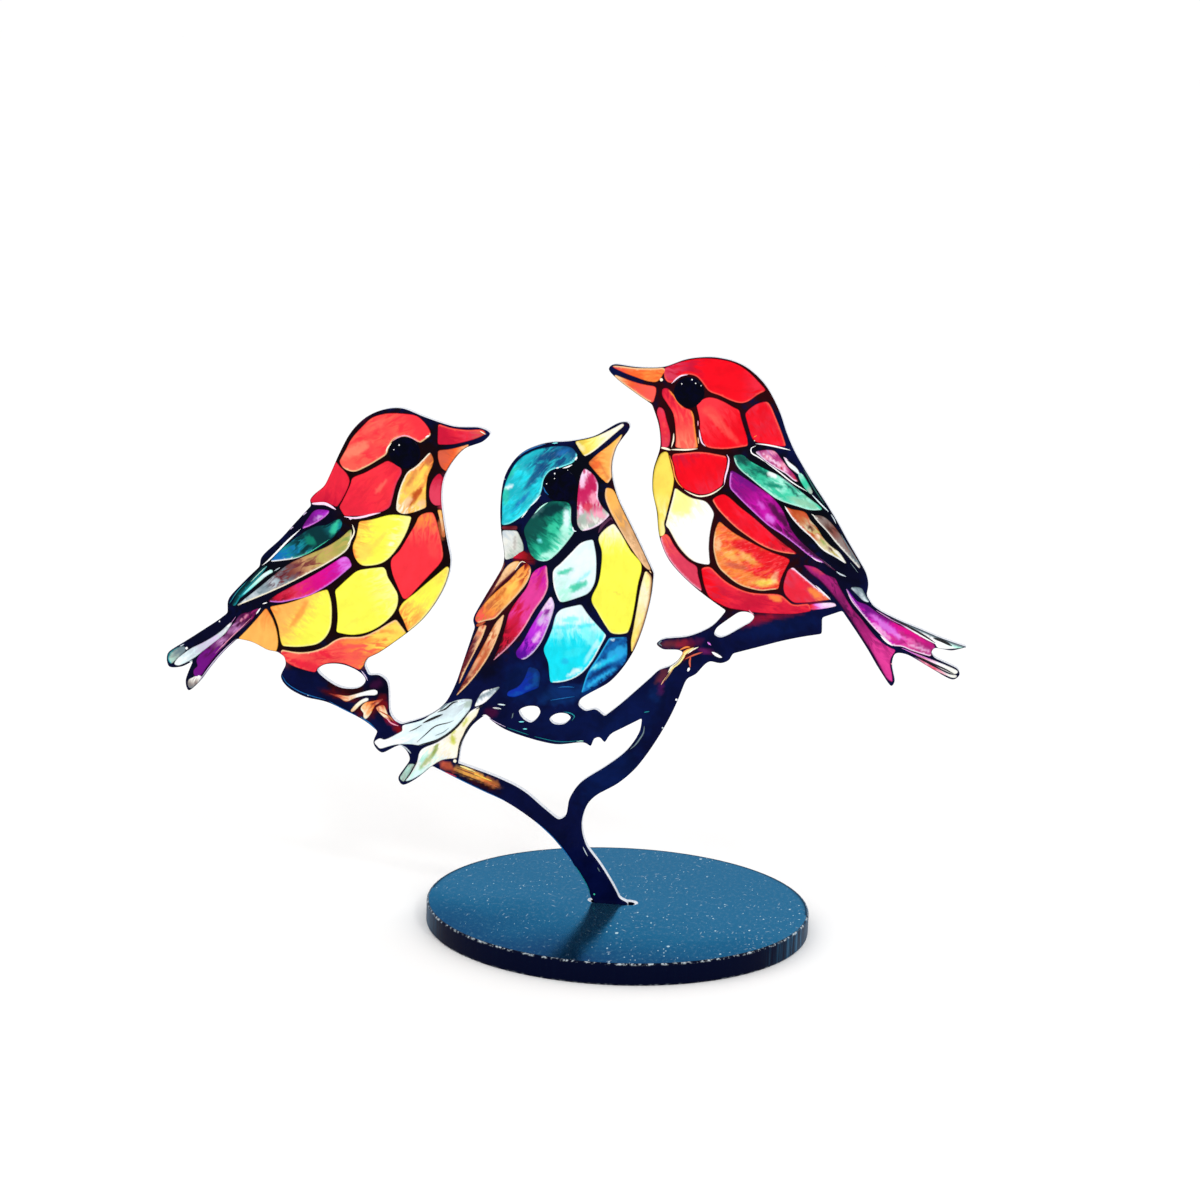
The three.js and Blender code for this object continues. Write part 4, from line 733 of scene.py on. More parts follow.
# Dark and glowing places of the print between the panes, as a Pane's spots
GLOWS = [
    # heads and bodies: warm black lines round the warm colours, blue black round the wings
    (-62, 108, 20, 18, 0, "lead_warm", 0.95), (-66, 80, 26, 15, 20, "lead_warm", 0.95),
    (-50, 90, 8, 16, 0, "lead_warm", 0.9), (-84, 66, 8, 6, 0, "lead_warm", 0.95),
    (-86, 84, 16, 5.5, 42, "ink", 0.9), (-88, 78, 8, 2.4, 20, "lead_cold", 0.9),
    (-80, 98, 8, 5, 20, "lead_cold", 0.9), (-104, 62, 12, 8, 45, "lead_cold", 0.8),
    (0, 100, 5, 18, 15, "lead_red", 0.9), (2.8, 80, 2, 12, -8, "lead_warm", 0.9),
    (-6.4, 101, 2.6, 2.6, 40, "plum", 0.8), (-14, 112, 8, 7, 0, "ink", 0.95),
    (-30, 96, 4, 4, 0, "lead_cold", 0.8), (-12, 92, 14, 14, 0, "ink", 0.6),
    (-32, 83, 6, 8, 40, "maroon", 0.8), (-26, 91, 3.4, 1.6, 0, "blood", 0.8),
    (-31, 74, 5, 11, -28, "lead_red", 0.8), (-25, 80, 2.6, 9, -28, "lead_cold", 0.9),
    (14, 124, 15, 21, 0, "lead_red", 0.95), (28, 138, 10, 4, -45, "lead_red", 0.95),
    (24, 94, 20, 15, 0, "lead_red", 0.95), (24, 108, 6, 3, -30, "lead_warm", 0.8),
    (39, 109, 20, 6, -46, "ink", 0.97), (52, 93, 6, 5, 0, "lead_cold", 0.8),
    (62, 80, 16, 2.6, -32, "lead_cold", 0.8),
    # edges where the print's colour reaches the plate's edge
    (-76, 107.6, 2.6, 4.6, -28, "crimson", 0.9), (-67, 123.6, 7, 1, 40, "plum", 0.8),
    (-46.4, 106, 1, 4.5, 0, "rosered", 0.9), (-46.8, 97.6, 0.9, 4, -10, "terracotta", 0.8),
    (-86.2, 62.6, 1.6, 1.2, 0, "berry", 0.6), (-43, 60, 0.9, 12, -20, "plum", 0.5),
    # left perch
    (-79, 57, 8, 4, -15, "navy", 0.9), (-70, 56, 5, 3, -20, "lead_red", 0.9),
    (-61.6, 56, 3, 3.6, 0, "lead_cold", 0.9), (-62.2, 57, 1.6, 1.2, 20, "plum", 0.7),
    (-71, 53.4, 5, 1, -14, "maroon", 0.9), (-64.4, 50.4, 3.4, 2.2, 20, "maroon", 0.95),
    (-60.4, 51.6, 1.4, 2.6, 10, "blood", 0.9), (-66.6, 50.6, 1.4, 0.8, 40, "lead_red", 0.8),
    (-58.4, 47.8, 2.4, 0.9, -35, "ruby", 0.7), (-56.4, 46, 1.4, 0.9, -20, "blood", 0.9),
    (-85, 60.6, 1.6, 1.4, 0, "oxblood", 0.7), (-82, 60, 3, 1, 0, "lead_cold", 0.7),
    (-66.4, 61.4, 2, 0.8, -30, "oxblood", 0.6),
    # middle perch and belly
    (-16, 57.6, 7, 2.6, 12, "deepblue", 0.9), (-33.2, 51.8, 1.8, 1.4, 0, "plum", 1),
    (-25, 60, 6, 5, 20, "midnight", 0.9), (-9, 60, 3, 2, 40, "deepblue", 0.8),
    (-34, 64, 3, 5, -30, "lead_cold", 0.6), (-10, 50, 14, 5, 0, "midnight", 0.5),
    # limbs
    (-43.6, 37.2, 2.4, 1.1, -20, "brick", 0.95), (-37.6, 35.8, 4.8, 1.3, -18, "apricot", 1),
    (-33, 34, 2.8, 1, -20, "orange", 0.8), (-35, 33.2, 5, 0.5, -20, "lead_red", 0.9),
    (-3, 37, 10, 5, 38, "midnight", 0.95), (2, 52, 5, 14, -38, "midnight", 0.5),
    (7.4, 59, 1.6, 1.6, 0, "deepblue", 0.5),
    # right perch
    (12.5, 72.3, 5.4, 1.2, 8, "oxblood", 0.85), (14, 72.6, 2.6, 1, 8, "ruby", 0.4),
    (17, 73, 2, 1, 10, "plum", 0.7), (9, 64, 2.4, 1.2, 55, "oxblood", 0.8),
    (8.8, 60.8, 0.8, 2, 0, "berry", 0.4), (14.4, 69.8, 3, 1, 45, "blood", 0.8),
    (19, 71, 2.4, 0.7, -10, "berry", 0.6), (31, 79.2, 5, 1.4, 15, "ruby", 0.55),
    (36, 80.6, 6, 0.8, 10, "ruby", 0.45), (44, 84, 4, 1, 12, "ruby", 0.5),
    (37, 77.8, 10, 2.2, 14, "midnight", 0.6),
]

# (x, z, radius) of each bird's eye, then its catchlights as (x, z, radius)
EYES = {
    "left_bird": ((-56.3, 115.3, 3.9), [(-57.6, 117.2, 0.34), (-58.9, 116, 0.24)]),
    "middle_bird": ((-17.8, 109.7, 4.2), [(-19.1, 112.4, 0.32), (-19.1, 111.2, 0.26),
                                         (-21, 109.8, 0.24)]),
    "right_bird": ((12.7, 133.8, 3.7), [(10.9, 135.8, 0.26), (13.3, 136.9, 0.28),
                                       (14.2, 136.1, 0.26), (15.5, 135.6, 0.2)]),
}

BIRDS = {"left_bird": LEFT_BIRD, "middle_bird": MIDDLE_BIRD, "right_bird": RIGHT_BIRD}


# Curves and fills on the plate's plane. A loop is a closed row of points, its start not repeated.


def parse(text):
    """The points of a text of "x,z" pairs."""
    return np.array([[float(n) for n in pair.split(",")] for pair in text.split()])


def after_each(loop):
    """The loop, begun one point later."""
    return np.roll(loop, -1, axis=0)


def before_each(loop):
    """The loop, begun one point earlier."""
    return np.roll(loop, 1, axis=0)


def turns(loop):
    """How far the loop turns at each point, in degrees."""
    into = loop - before_each(loop)
    out = after_each(loop) - loop
    cross = into[:, 0] * out[:, 1] - into[:, 1] * out[:, 0]
    return np.degrees(np.abs(np.arctan2(cross, (into * out).sum(1))))


def catmull_rom(before, start, end, after, count):
    """count points from start up to end on a centripetal curve, end left out."""
    knots = np.cumsum([0] + [math.sqrt(max(np.linalg.norm(b - a), TINY))
                             for a, b in ((before, start), (start, end), (end, after))])
    t = np.linspace(knots[1], knots[2], count, endpoint=False)[:, None]

    def between(a, b, i, j):
        return (a * (knots[j] - t) + b * (t - knots[i])) / (knots[j] - knots[i])

    first = between(before, start, 0, 1)
    second = between(start, end, 1, 2)
    third = between(end, after, 2, 3)
    return between(between(first, second, 0, 2), between(second, third, 1, 3), 1, 2)


def curve_through(points, step, closed, corner_deg=180):
    """Points about step apart on a curve through the given ones, straight into its corners."""
    count = len(points)
    sharp = turns(points) > corner_deg if closed else np.zeros(count, bool)
    rows = []
    for i in range(count if closed else count - 1):
        start, end = points[i], points[(i + 1) % count]
        open_start = sharp[i] or (not closed and i == 0)
        open_end = sharp[(i + 1) % count] or (not closed and i == count - 2)
        before = 2 * start - end if open_start else points[i - 1]
        after = 2 * end - start if open_end else points[(i + 2) % count]
        pieces = max(1, round(np.linalg.norm(end - start) / step))
        rows.append(catmull_rom(before, start, end, after, pieces))
    if not closed:
        rows.append(points[-1:])
    return np.concatenate(rows)


def softened(loop, rounds):
    """The loop after every point has moved towards its neighbours that many times."""
    for _ in range(rounds):
        loop = (before_each(loop) + 2 * loop + after_each(loop)) / 4
    return loop


def normals_of(loop):
    """The direction outwards at each point of a loop that faces out."""
    along = after_each(loop) - before_each(loop)
    return np.stack([along[:, 1], -along[:, 0]], 1) / np.linalg.norm(along, axis=1, keepdims=True)


def grown(loop, amount):
    """The loop with every point moved outwards."""
    return loop + normals_of(loop) * amount


def nearest(loops, points):
    """Each point's distance to the loops, the loop's outward normal there, and its foot on
    the loop. The loops' points lie closely, so only the sides by the nearest one count."""
    starts = np.concatenate(loops)
    spans = np.concatenate([after_each(loop) - loop for loop in loops])
    offsets = np.cumsum([0] + [len(loop) for loop in loops])
    before = np.concatenate([before_each(np.arange(len(loop))) + offset
                             for loop, offset in zip(loops, offsets)])
    tree = kdtree.KDTree(len(starts))
    for i, (x, z) in enumerate(starts):
        tree.insert((x, z, 0), i)
    tree.balance()
    closest = np.array([tree.find((x, z, 0))[1] for x, z in points], int)
    feet, gaps = [], []
    for side in (closest, before[closest]):
        span = spans[side]
        along = ((points - starts[side]) * span).sum(1) / np.maximum((span**2).sum(1), TINY)
        feet.append(starts[side] + along.clip(0, 1)[:, None] * span)
        gaps.append(np.linalg.norm(points - feet[-1], axis=1))
    earlier = gaps[1] < gaps[0]
    chosen = spans[np.where(earlier, before[closest], closest)]
    outward = np.stack([chosen[:, 1], -chosen[:, 0]], 1)
    outward /= np.maximum(np.linalg.norm(outward, axis=1, keepdims=True), TINY)
    return np.minimum(*gaps), outward, np.where(earlier[:, None], feet[1], feet[0])


def inside(loops, points, at_once=500):
    """Whether each point is inside the loops by the even-odd rule."""
    starts = np.concatenate(loops)
    ends = np.concatenate([after_each(loop) for loop in loops])
    rise = ends[:, 1] - starts[:, 1]
    slope = (ends[:, 0] - starts[:, 0]) / np.where(rise == 0, 1, rise)
    found = np.empty(len(points), bool)
    for first in range(0, len(points), at_once):
        x, z = points[first:first + at_once].T[:, :, None]
        crossing = (z < starts[:, 1]) != (z < ends[:, 1])
        before = x < starts[:, 0] + (z - starts[:, 1]) * slope
        found[first:first + at_once] = (crossing & before).sum(1) % 2 == 1
    return found


def thinned(points, cell):
    """One point for each square of that size."""
    kept = np.unique(np.floor(points / cell).astype(int), axis=0, return_index=True)[1]
    return points[np.sort(kept)]


def facing_out(loop):
    """The loop turned the way round that puts its outward normals outside."""
    area = (loop[:, 0] * np.roll(loop[:, 1], -1) - loop[:, 1] * np.roll(loop[:, 0], -1)).sum()
    return loop if area > 0 else loop[::-1]


def triangular_grid(low, high, spacing):
    """Points at the corners of even-sided triangles, between two corners of a box."""
    rows = np.arange(low[1], high[1], spacing * math.sqrt(0.75))
    columns = np.arange(low[0], high[0], spacing)
    return np.array([(x + (i % 2) * spacing / 2, z) for i, z in enumerate(rows) for x in columns])


def filled(loops, insets, spacing):
    """Triangles that fill the loops, with rows of points along the edge and a grid of points
    beyond. Returns points, triangles, each loop's point numbers, edge distances and normals."""
    rim = np.concatenate(loops)
    lattice = triangular_grid(rim.min(0), rim.max(0), spacing)
    lattice = lattice[inside(loops, lattice)]
    lattice = lattice[nearest(loops, lattice)[0] > insets[-1] + spacing / 2]
    normals = np.concatenate([normals_of(loop) for loop in loops])
    extra = [lattice]
    for inset in insets:
        row = rim - normals * inset
        row = row[inside(loops, row)]
        row = row[nearest(loops, row)[0] > inset * 0.9]
        extra.append(thinned(row, max(inset, CLOSEST_POINTS)))
    numbered, edges, first = [], [], 0
    for loop in loops:
        numbers = list(range(first, first + len(loop)))
        numbered.append(numbers)
        edges += zip(numbers, numbers[1:] + numbers[:1])
        first += len(loop)
    given = [Vector(p) for p in np.concatenate([rim, *extra])]
    made = geometry.delaunay_2d_cdt(given, edges, [], 0, JOIN_DISTANCE)
    points = np.array([tuple(p) for p in made[0]])
    triangles = np.array(made[2])
    triangles = triangles[inside(loops, points[triangles].mean(1))]
    place = {old: new for new, olds in enumerate(made[3]) for old in olds}
    rings = [[place[number] for number in numbers] for numbers in numbered]
    distance, outward, _ = nearest(loops, points)
    distance[[i for ring in rings for i in ring]] = 0
    return points, triangles, rings, distance, outward


# Colour


def encoded(name):
    """A palette colour as red, green and blue parts up to 1."""
    code = PALETTE[name]
    return np.array([code >> 16, code >> 8 & 255, code & 255]) / 255


def to_linear(colours):
    """Screen colours as amounts of light."""
    colours = np.asarray(colours)
    return np.where(colours < 0.04045, colours / 12.92, ((colours + 0.055) / 1.055) ** 2.4)


def smoothstep(x):
    """From 0 to 1 as x does, gently at both ends."""
    x = np.clip(x, 0, 1)
    return x * x * (3 - 2 * x)


def ragged(points, size, seed):
    """Smooth noise at each point, with lumps of about that size."""
    return np.array([noise.noise(Vector((x / size, z / size, seed))) for x, z in points])


def with_spots(colours, points, spots):
    """The points' colours with the spots laid over them, each with the same ragged edge."""
    if not spots:
        return colours
    wander = sum(amount * ragged(points, size, seed) for amount, size, seed in SPOT_WANDER)
    for x, z, long, short, turn, name, strength in spots:
        c, s = math.cos(math.radians(turn)), math.sin(math.radians(turn))
        dx, dz = points[:, 0] - x, points[:, 1] - z
        reach = np.hypot((dx * c + dz * s) / long, (dz * c - dx * s) / short) + wander
        amount = strength * smoothstep((SPOT_REACH - reach) / SPOT_FADE)[:, None]
        colours = colours * (1 - amount) + encoded(name) * amount
    return colours


def run_of(tones, place):
    """The colour at each place, from 0 for the first tone to 1 for the last."""
    stops = np.array([encoded(name) for name in tones.split()])
    at = np.clip(place, 0, 1) * (len(stops) - 1)
    return np.stack([np.interp(at, range(len(stops)), stops[:, k]) for k in range(3)], 1)


def directions(pane):
    """Along the pane's heading, and across it."""
    turn = math.radians(pane.heading)
    return np.array([math.cos(turn), math.sin(turn)]), np.array([-math.sin(turn), math.cos(turn)])


def pane_colours(pane, shift, points, distance, outward):
    """Each point's colour, with the run of tones shifted along by that part of the pane."""
    along = points @ directions(pane)[0]
    place = (along - along.min()) / np.ptp(along)
    colours = with_spots(run_of(pane.tones, place + shift), points, pane.spots)
    if pane.rim:
        name, side = pane.rim
        toward = outward @ [math.cos(math.radians(side)), math.sin(math.radians(side))]
        amount = (smoothstep((toward - RIM_FACING) / RIM_FACING_FADE)
                  * smoothstep((RIM_WIDTH - distance) / RIM_WIDTH_FADE))
        colours = colours + (encoded(name) - colours) * amount[:, None]
    return to_linear(colours)


def grain_of(pane, points, seed):
    """Where each point lies along and across the pane's grain, on a layer of its own."""
    along, across = directions(pane)
    layer = np.full(len(points), seed * GRAIN_APART)
    return np.column_stack([points @ along, points @ across, layer])


# Meshes


class Build:
    """Collects closed shapes and their per-point values into one mesh."""

    def __init__(self):
        self.points, self.faces, self.slots, self.values = [], [], [], {}
        self.count = 0

    def add_faces(self, faces, slot=0):
        self.faces += faces
        self.slots += [slot] * len(faces)

    def add(self, points, faces, **values):
        """Adds points, faces that count from the first of them, and the points' values."""
        numbers = list(range(self.count, self.count + len(points)))
        self.add_faces([[numbers[i] for i in face] for face in faces])
        self.points.append(points)
        self.count += len(points)
        for name, value in values.items():
            self.values.setdefault(name, []).append(value)
        return numbers

    def finish(self, name, materials):
        """Makes the object, which rides on the one fixed body."""
        mesh = bpy.data.meshes.new(name)
        mesh.from_pydata((np.concatenate(self.points) * MM).tolist(), [], self.faces)
        for material in materials:
            mesh.materials.append(material)
        mesh.polygons.foreach_set("material_index", self.slots)
        for key, rows in self.values.items():
            value = np.concatenate(rows)
            if value.ndim == 1:
                mesh.attributes.new(key, "FLOAT", "POINT").data.foreach_set("value", value)
            else:
                layer = mesh.attributes.new(key, "FLOAT_VECTOR", "POINT")
                layer.data.foreach_set("vector", value.ravel())
        shape = bmesh.new()
        shape.from_mesh(mesh)
        bmesh.ops.recalc_face_normals(shape, faces=shape.faces)
        shape.to_mesh(mesh)
        shape.free()
        mesh.polygons.foreach_set("use_smooth", [True] * len(mesh.polygons))
        mesh.set_sharp_from_angle(angle=math.radians(MESH_CORNER))
        made = bpy.data.objects.new(name, mesh)
        bpy.context.scene.collection.objects.link(made)
        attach(made, "root")
        return made


def on_side(points, height, side):
    """Plate points raised by height off the front (side -1) or the back (side 1)."""
    depth = side * (FACE + height) * np.ones(len(points))
    return np.stack([points[:, 0], depth, points[:, 1]], 1)


def pane_height(distance):
    """A pane's height at that distance from its edge: rounded, then slowly crowned."""
    close = 1 - np.clip(distance / PANE_ROUND, 0, 1)
    crown = PANE_CROWN * (1 - np.exp(-distance / CROWN_REACH))
    return PANE_RISE * np.sqrt(1 - close**2) + crown


def rounded(distance, radius):
    """How far a face with a rounded edge lies below its flat part."""
    near = np.clip(radius - distance, 0, radius)
    return np.sqrt(radius**2 - near**2) - radius


def kept_on_plate(line, outline, margin):
    """The line, pulled in where it comes nearer than that to the plate's edge or crosses it."""
    distance, outward, foot = nearest(outline, line)
    near = (distance < margin) | ~inside(outline, line)
    line = line.copy()
    line[near] = foot[near] - outward[near] * margin
    return line


def band(upper, lower):
    """Four-sided faces between two closed rings of point numbers."""
    return [[a, b, d, c] for a, b, c, d in zip(upper, upper[1:] + upper[:1],
                                               lower, lower[1:] + lower[:1])]


def add_raised(build, loop, side, insets, spacing, height, **value_makers):
    """A closed shape that stands up from the plate's face inside the loop."""
    points, triangles, (ring,), distance, outward = filled([loop], insets, spacing)
    count = len(points)
    corners = np.concatenate([on_side(points, height(distance), side),
                              on_side(points[ring], -ROOT, side)])
    foot = [count + i for i in range(len(ring))]
    values = {}
    for key, maker in value_makers.items():
        value = maker(points, distance, outward)
        values[key] = np.concatenate([value, value[ring]])
    build.add(corners, triangles.tolist() + band(ring, foot) + [foot], **values)


def add_pane(build, pane, side, outline, seed):
    """A pane of enamel. Those on the back are more coarsely divided."""
    if side < 0:
        step, spacing, insets = PANE_STEP, PANE_GRID, PANE_INSETS
    else:
        step, spacing, insets = BACK_STEP, BACK_GRID, PANE_INSETS[1::2]
    loop = softened(curve_through(parse(pane.outline), step, True, PANE_CORNER), 2)
    loop = kept_on_plate(grown(facing_out(loop), PANE_GROWTH), outline, EDGE_MARGIN)
    cloudy = np.clip(pane.marble * CLOUD_GAIN - CLOUD_START, 0, 1)
    add_raised(
        build, loop, side, insets, spacing, pane_height,
        tone_low=lambda *place: pane_colours(pane, -pane.marble, *place),
        tone_high=lambda *place: pane_colours(pane, pane.marble, *place),
        grain=lambda points, *_: grain_of(pane, points, seed),
        cloudy=lambda points, *_: np.full(len(points), cloudy),
        edge=lambda points, distance, _: np.clip(distance, 0, 2))


def add_dot(build, centre, radius, rise, side, **value_makers):
    """A round drop, as high as rise in the middle."""
    count = max(FEWEST_DOT_SIDES, round(radius * DOT_SIDES_PER_MM))
    angles = np.linspace(0, 2 * math.pi, count, endpoint=False)
    loop = centre + radius * np.stack([np.cos(angles), np.sin(angles)], 1)
    insets = [radius * part for part in DOT_INSETS]
    add_raised(build, loop, side, insets, max(radius / 4, FINEST_DOT_GRID),
               lambda distance: rise + rounded(distance / radius, 1) * rise, **value_makers)


def even_tone(name):
    """A maker of the same colour for every point."""
    return lambda points, *_: np.tile(to_linear(encoded(name)), (len(points), 1))


def add_stroke(build, name, width, text, side, outline):
    """A bead of paint: a tapered ridge along the points, or a round dot for a single point."""
    points = parse(text)
    tone = even_tone(name)
    if len(points) == 1:
        add_dot(build, points[0], width / 2, STROKE_RISE, side, tone=tone)
        return
    line = curve_through(points, STROKE_STEP, False)
    line = kept_on_plate(line, outline, width / 2 + EDGE_MARGIN)
    tangent = np.gradient(line, axis=0)
    tangent /= np.maximum(np.linalg.norm(tangent, axis=1, keepdims=True), TINY)
    normal = np.stack([-tangent[:, 1], tangent[:, 0]], 1)
    from_middle = np.abs(np.linspace(-1, 1, len(line)))
    taper = np.maximum(1 - from_middle**TAPER_LATENESS, TAPER_TIP) ** TAPER_SHARPNESS
    half = width / 2 * taper[:, None]
    rings = [on_side(line + normal * half * out, up, side) for out, up in STROKE_SECTION]
    corners = np.stack(rings, 1).reshape(-1, 3)
    sides = len(STROKE_SECTION)
    sections = [list(range(i, i + sides)) for i in range(0, len(corners), sides)]
    faces = [sections[0], sections[-1]]
    for one, next_one in zip(sections, sections[1:]):
        faces += band(one, next_one)
    build.add(corners, faces, tone=tone(corners))


def cad_loops(node, axis, level, slack=0.01):
    """The closed loops round the flat face of a CAD node that lies at that level, outer and
    inner, in millimetres."""
    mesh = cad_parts[node].data
    kept = [i for i in range(3) if i != axis]
    corners = [tuple(round(c / MM, 3) for c in vertex.co) for vertex in mesh.vertices]
    sides = set()
    for polygon in mesh.polygons:
        ring = [corners[i] for i in polygon.vertices]
        if all(abs(corner[axis] - level) < slack for corner in ring):
            flat = [tuple(corner[i] for i in kept) for corner in ring]
            sides.update(zip(flat, flat[1:] + flat[:1]))
    rim = {a: b for a, b in sides if (b, a) not in sides}
    loops = []
    while rim:
        start, point = rim.popitem()
        loop = [start]
        while point != start:
            loop.append(point)
            point = rim.pop(point)
        loops.append(np.array(loop))
    return sorted(loops, key=lambda loop: -np.ptp(loop[:, 0]))


def plate_outline():
    """The plate's outer loop, facing out, and its holes, facing into themselves."""
    loops = [softened(curve_through(loop, PLATE_STEP, True, CAD_CORNER), 1)
             for loop in cad_loops("bird_plate", 1, PLATE_LOW.y)]
    return [facing_out(loops[0])] + [facing_out(loop)[::-1] for loop in loops[1:]]


def make_plate(loops, front, wall):
    """The steel plate: both printed faces with rounded edges, and the bare cut edge."""
    points, triangles, rings, distance, _ = filled(loops, PLATE_INSETS, PLATE_GRID)
    count = len(points)
    height = rounded(distance, ARRIS)
    corners = np.concatenate([on_side(points, height, -1), on_side(points, height, 1)])
    faces = triangles.tolist() + (triangles + count).tolist()
    glowing = to_linear(with_spots(np.tile(encoded("navy"), (count, 1)), points, GLOWS))
    build = Build()
    build.add(corners, faces, tone=np.tile(glowing, (2, 1)))
    for ring in rings:
        build.add_faces(band(ring, [count + i for i in ring]), slot=1)
    made = build.finish("bird_plate_print", [front, wall])
    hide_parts("bird_plate")


def make_disc(top_enamel, side_enamel, bare):
    """The base disc: flat top with a rounded rim, its slot with a bright chamfered lip, the
    side and the underside. worn tells where the enamel has rubbed light; the other value
    paints a dark line of shade where the top ends on its far half."""
    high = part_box("base_disc")[1] / MM
    top, flat_radius = high.z, high.x - DISC_ARRIS
    angles = np.linspace(0, 2 * math.pi, DISC_SIDES, endpoint=False)
    circle = np.stack([np.cos(angles), np.sin(angles)], 1)
    slot = cad_loops("base_disc", 2, top)[1]
    slot = softened(curve_through(facing_out(slot)[::-1], SLOT_STEP, True, CAD_CORNER), 2)
    loops = [circle * flat_radius, grown(slot, -LIP_WIDTH)]
    flat, triangles, (rim, lip), _, _ = filled(loops, DISC_INSETS, DISC_GRID)
    build = Build()

    def add_points(plan, height, wear=0, border=0):
        every = np.ones(len(plan))
        return build.add(np.column_stack([plan, height * every]), [],
                         worn=wear * every, border=border * every)

    from_rim = flat_radius - np.linalg.norm(flat, axis=1)
    # The top's points, with the painted shade line near the rim on its far half
    add_points(flat, top, border=np.clip(1 - from_rim / FAR_SHADE_WIDTH, 0, 1) * (flat[:, 1] > 0))
    build.add_faces(triangles.tolist())
    for rings, level, up in ((TOP_RINGS, top - DISC_ARRIS, 1), (FOOT_RINGS, DISC_ARRIS, -1)):
        for degrees, wear in rings:
            bend = math.radians(degrees)
            ring = add_points(circle * (flat_radius + DISC_ARRIS * math.cos(bend)),
                              level + up * DISC_ARRIS * math.sin(bend), wear)
            build.add_faces(band(rim, ring), slot=1)
            rim = ring
    build.add_faces([rim], slot=1)
    edge = add_points(slot, top - LIP_DROP)
    build.add_faces(band(lip, edge), slot=2)
    # The slot's walls and floor take the side's enamel, painted near black as shade
    floor = add_points(slot, top - SLOT_DEPTH)
    build.add_faces(band(edge, floor) + [floor], slot=1)
    made = build.finish("disc_enamel", [top_enamel, side_enamel, bare])
    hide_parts("base_disc")


# Materials


class Tree:
    """A material's nodes, added and wired with short calls."""

    def __init__(self, name):
        self.material = bpy.data.materials.new(name)
        self.material.use_nodes = True
        self.nodes = self.material.node_tree.nodes
        self.shader = self.nodes["Principled BSDF"]

    def wire(self, value, socket):
        if isinstance(value, bpy.types.NodeSocket):
            self.material.node_tree.links.new(value, socket)
        else:
            socket.default_value = value

    def add(self, kind, inputs, output=0, **settings):
        made = self.nodes.new("ShaderNode" + kind)
        for key, value in settings.items():
            setattr(made, key, value)
        for key, value in inputs.items():
            self.wire(value, made.inputs[key])
        return made.outputs[output]

    def surface(self, **sockets):
        for key, value in sockets.items():
            self.wire(value, self.shader.inputs[key.replace("_", " ")])
        return self.material

    def value_of(self, attribute):
        return self.add("Attribute", {}, "Fac", attribute_name=attribute)

    def vector_of(self, attribute):
        return self.add("Attribute", {}, "Vector", attribute_name=attribute)

    def place(self, scale=(1, 1, 1)):
        """Where the point is on the object, in millimetres times scale."""
        where = self.add("TexCoord", {}, "Object")
        return self.scaled(where, [s / MM for s in scale])

    def scaled(self, vector, scale):
        return self.add("Mapping", {"Vector": vector, "Scale": scale})

    def part_of(self, vector, axis):
        return self.add("SeparateXYZ", {"Vector": vector}, axis)

    def noise(self, vector, scale, detail=3, roughness=0.5, distortion=0):
        return self.add("TexNoise", {"Vector": vector, "Scale": scale, "Detail": detail,
                                     "Roughness": roughness, "Distortion": distortion})

    def cells(self, vector, scale):
        """How far each point is from its cell's middle, and the cell's own random colour."""
        distance = self.add("TexVoronoi", {"Vector": vector, "Scale": scale}, "Distance")
        return distance, distance.node.outputs["Color"]

    def ramp(self, value, low, high, to_low=0, to_high=1):
        return self.add("MapRange", {"Value": value, "From Min": low, "From Max": high,
                                     "To Min": to_low, "To Max": to_high},
                        interpolation_type="SMOOTHSTEP")

    def math(self, operation, a, b=0):
        return self.add("Math", {0: a, 1: b}, operation=operation)

    def mix(self, factor, a, b, blend="MIX"):
        return self.add("Mix", {0: factor, 6: a, 7: b}, 2, data_type="RGBA", blend_type=blend)

    def shade(self, colour, brightness, saturation=1.0):
        return self.add("HueSaturation", {"Color": colour, "Value": brightness,
                                          "Saturation": saturation})

    def bump(self, height, distance):
        return self.add("Bump", {"Height": height, "Distance": distance * MM, "Strength": 1.0})


def rgba(name):
    """A palette colour for a node."""
    return (*to_linear(encoded(name)), 1)


def grey(level):
    """An even grey for a node."""
    return (level, level, level, 1)


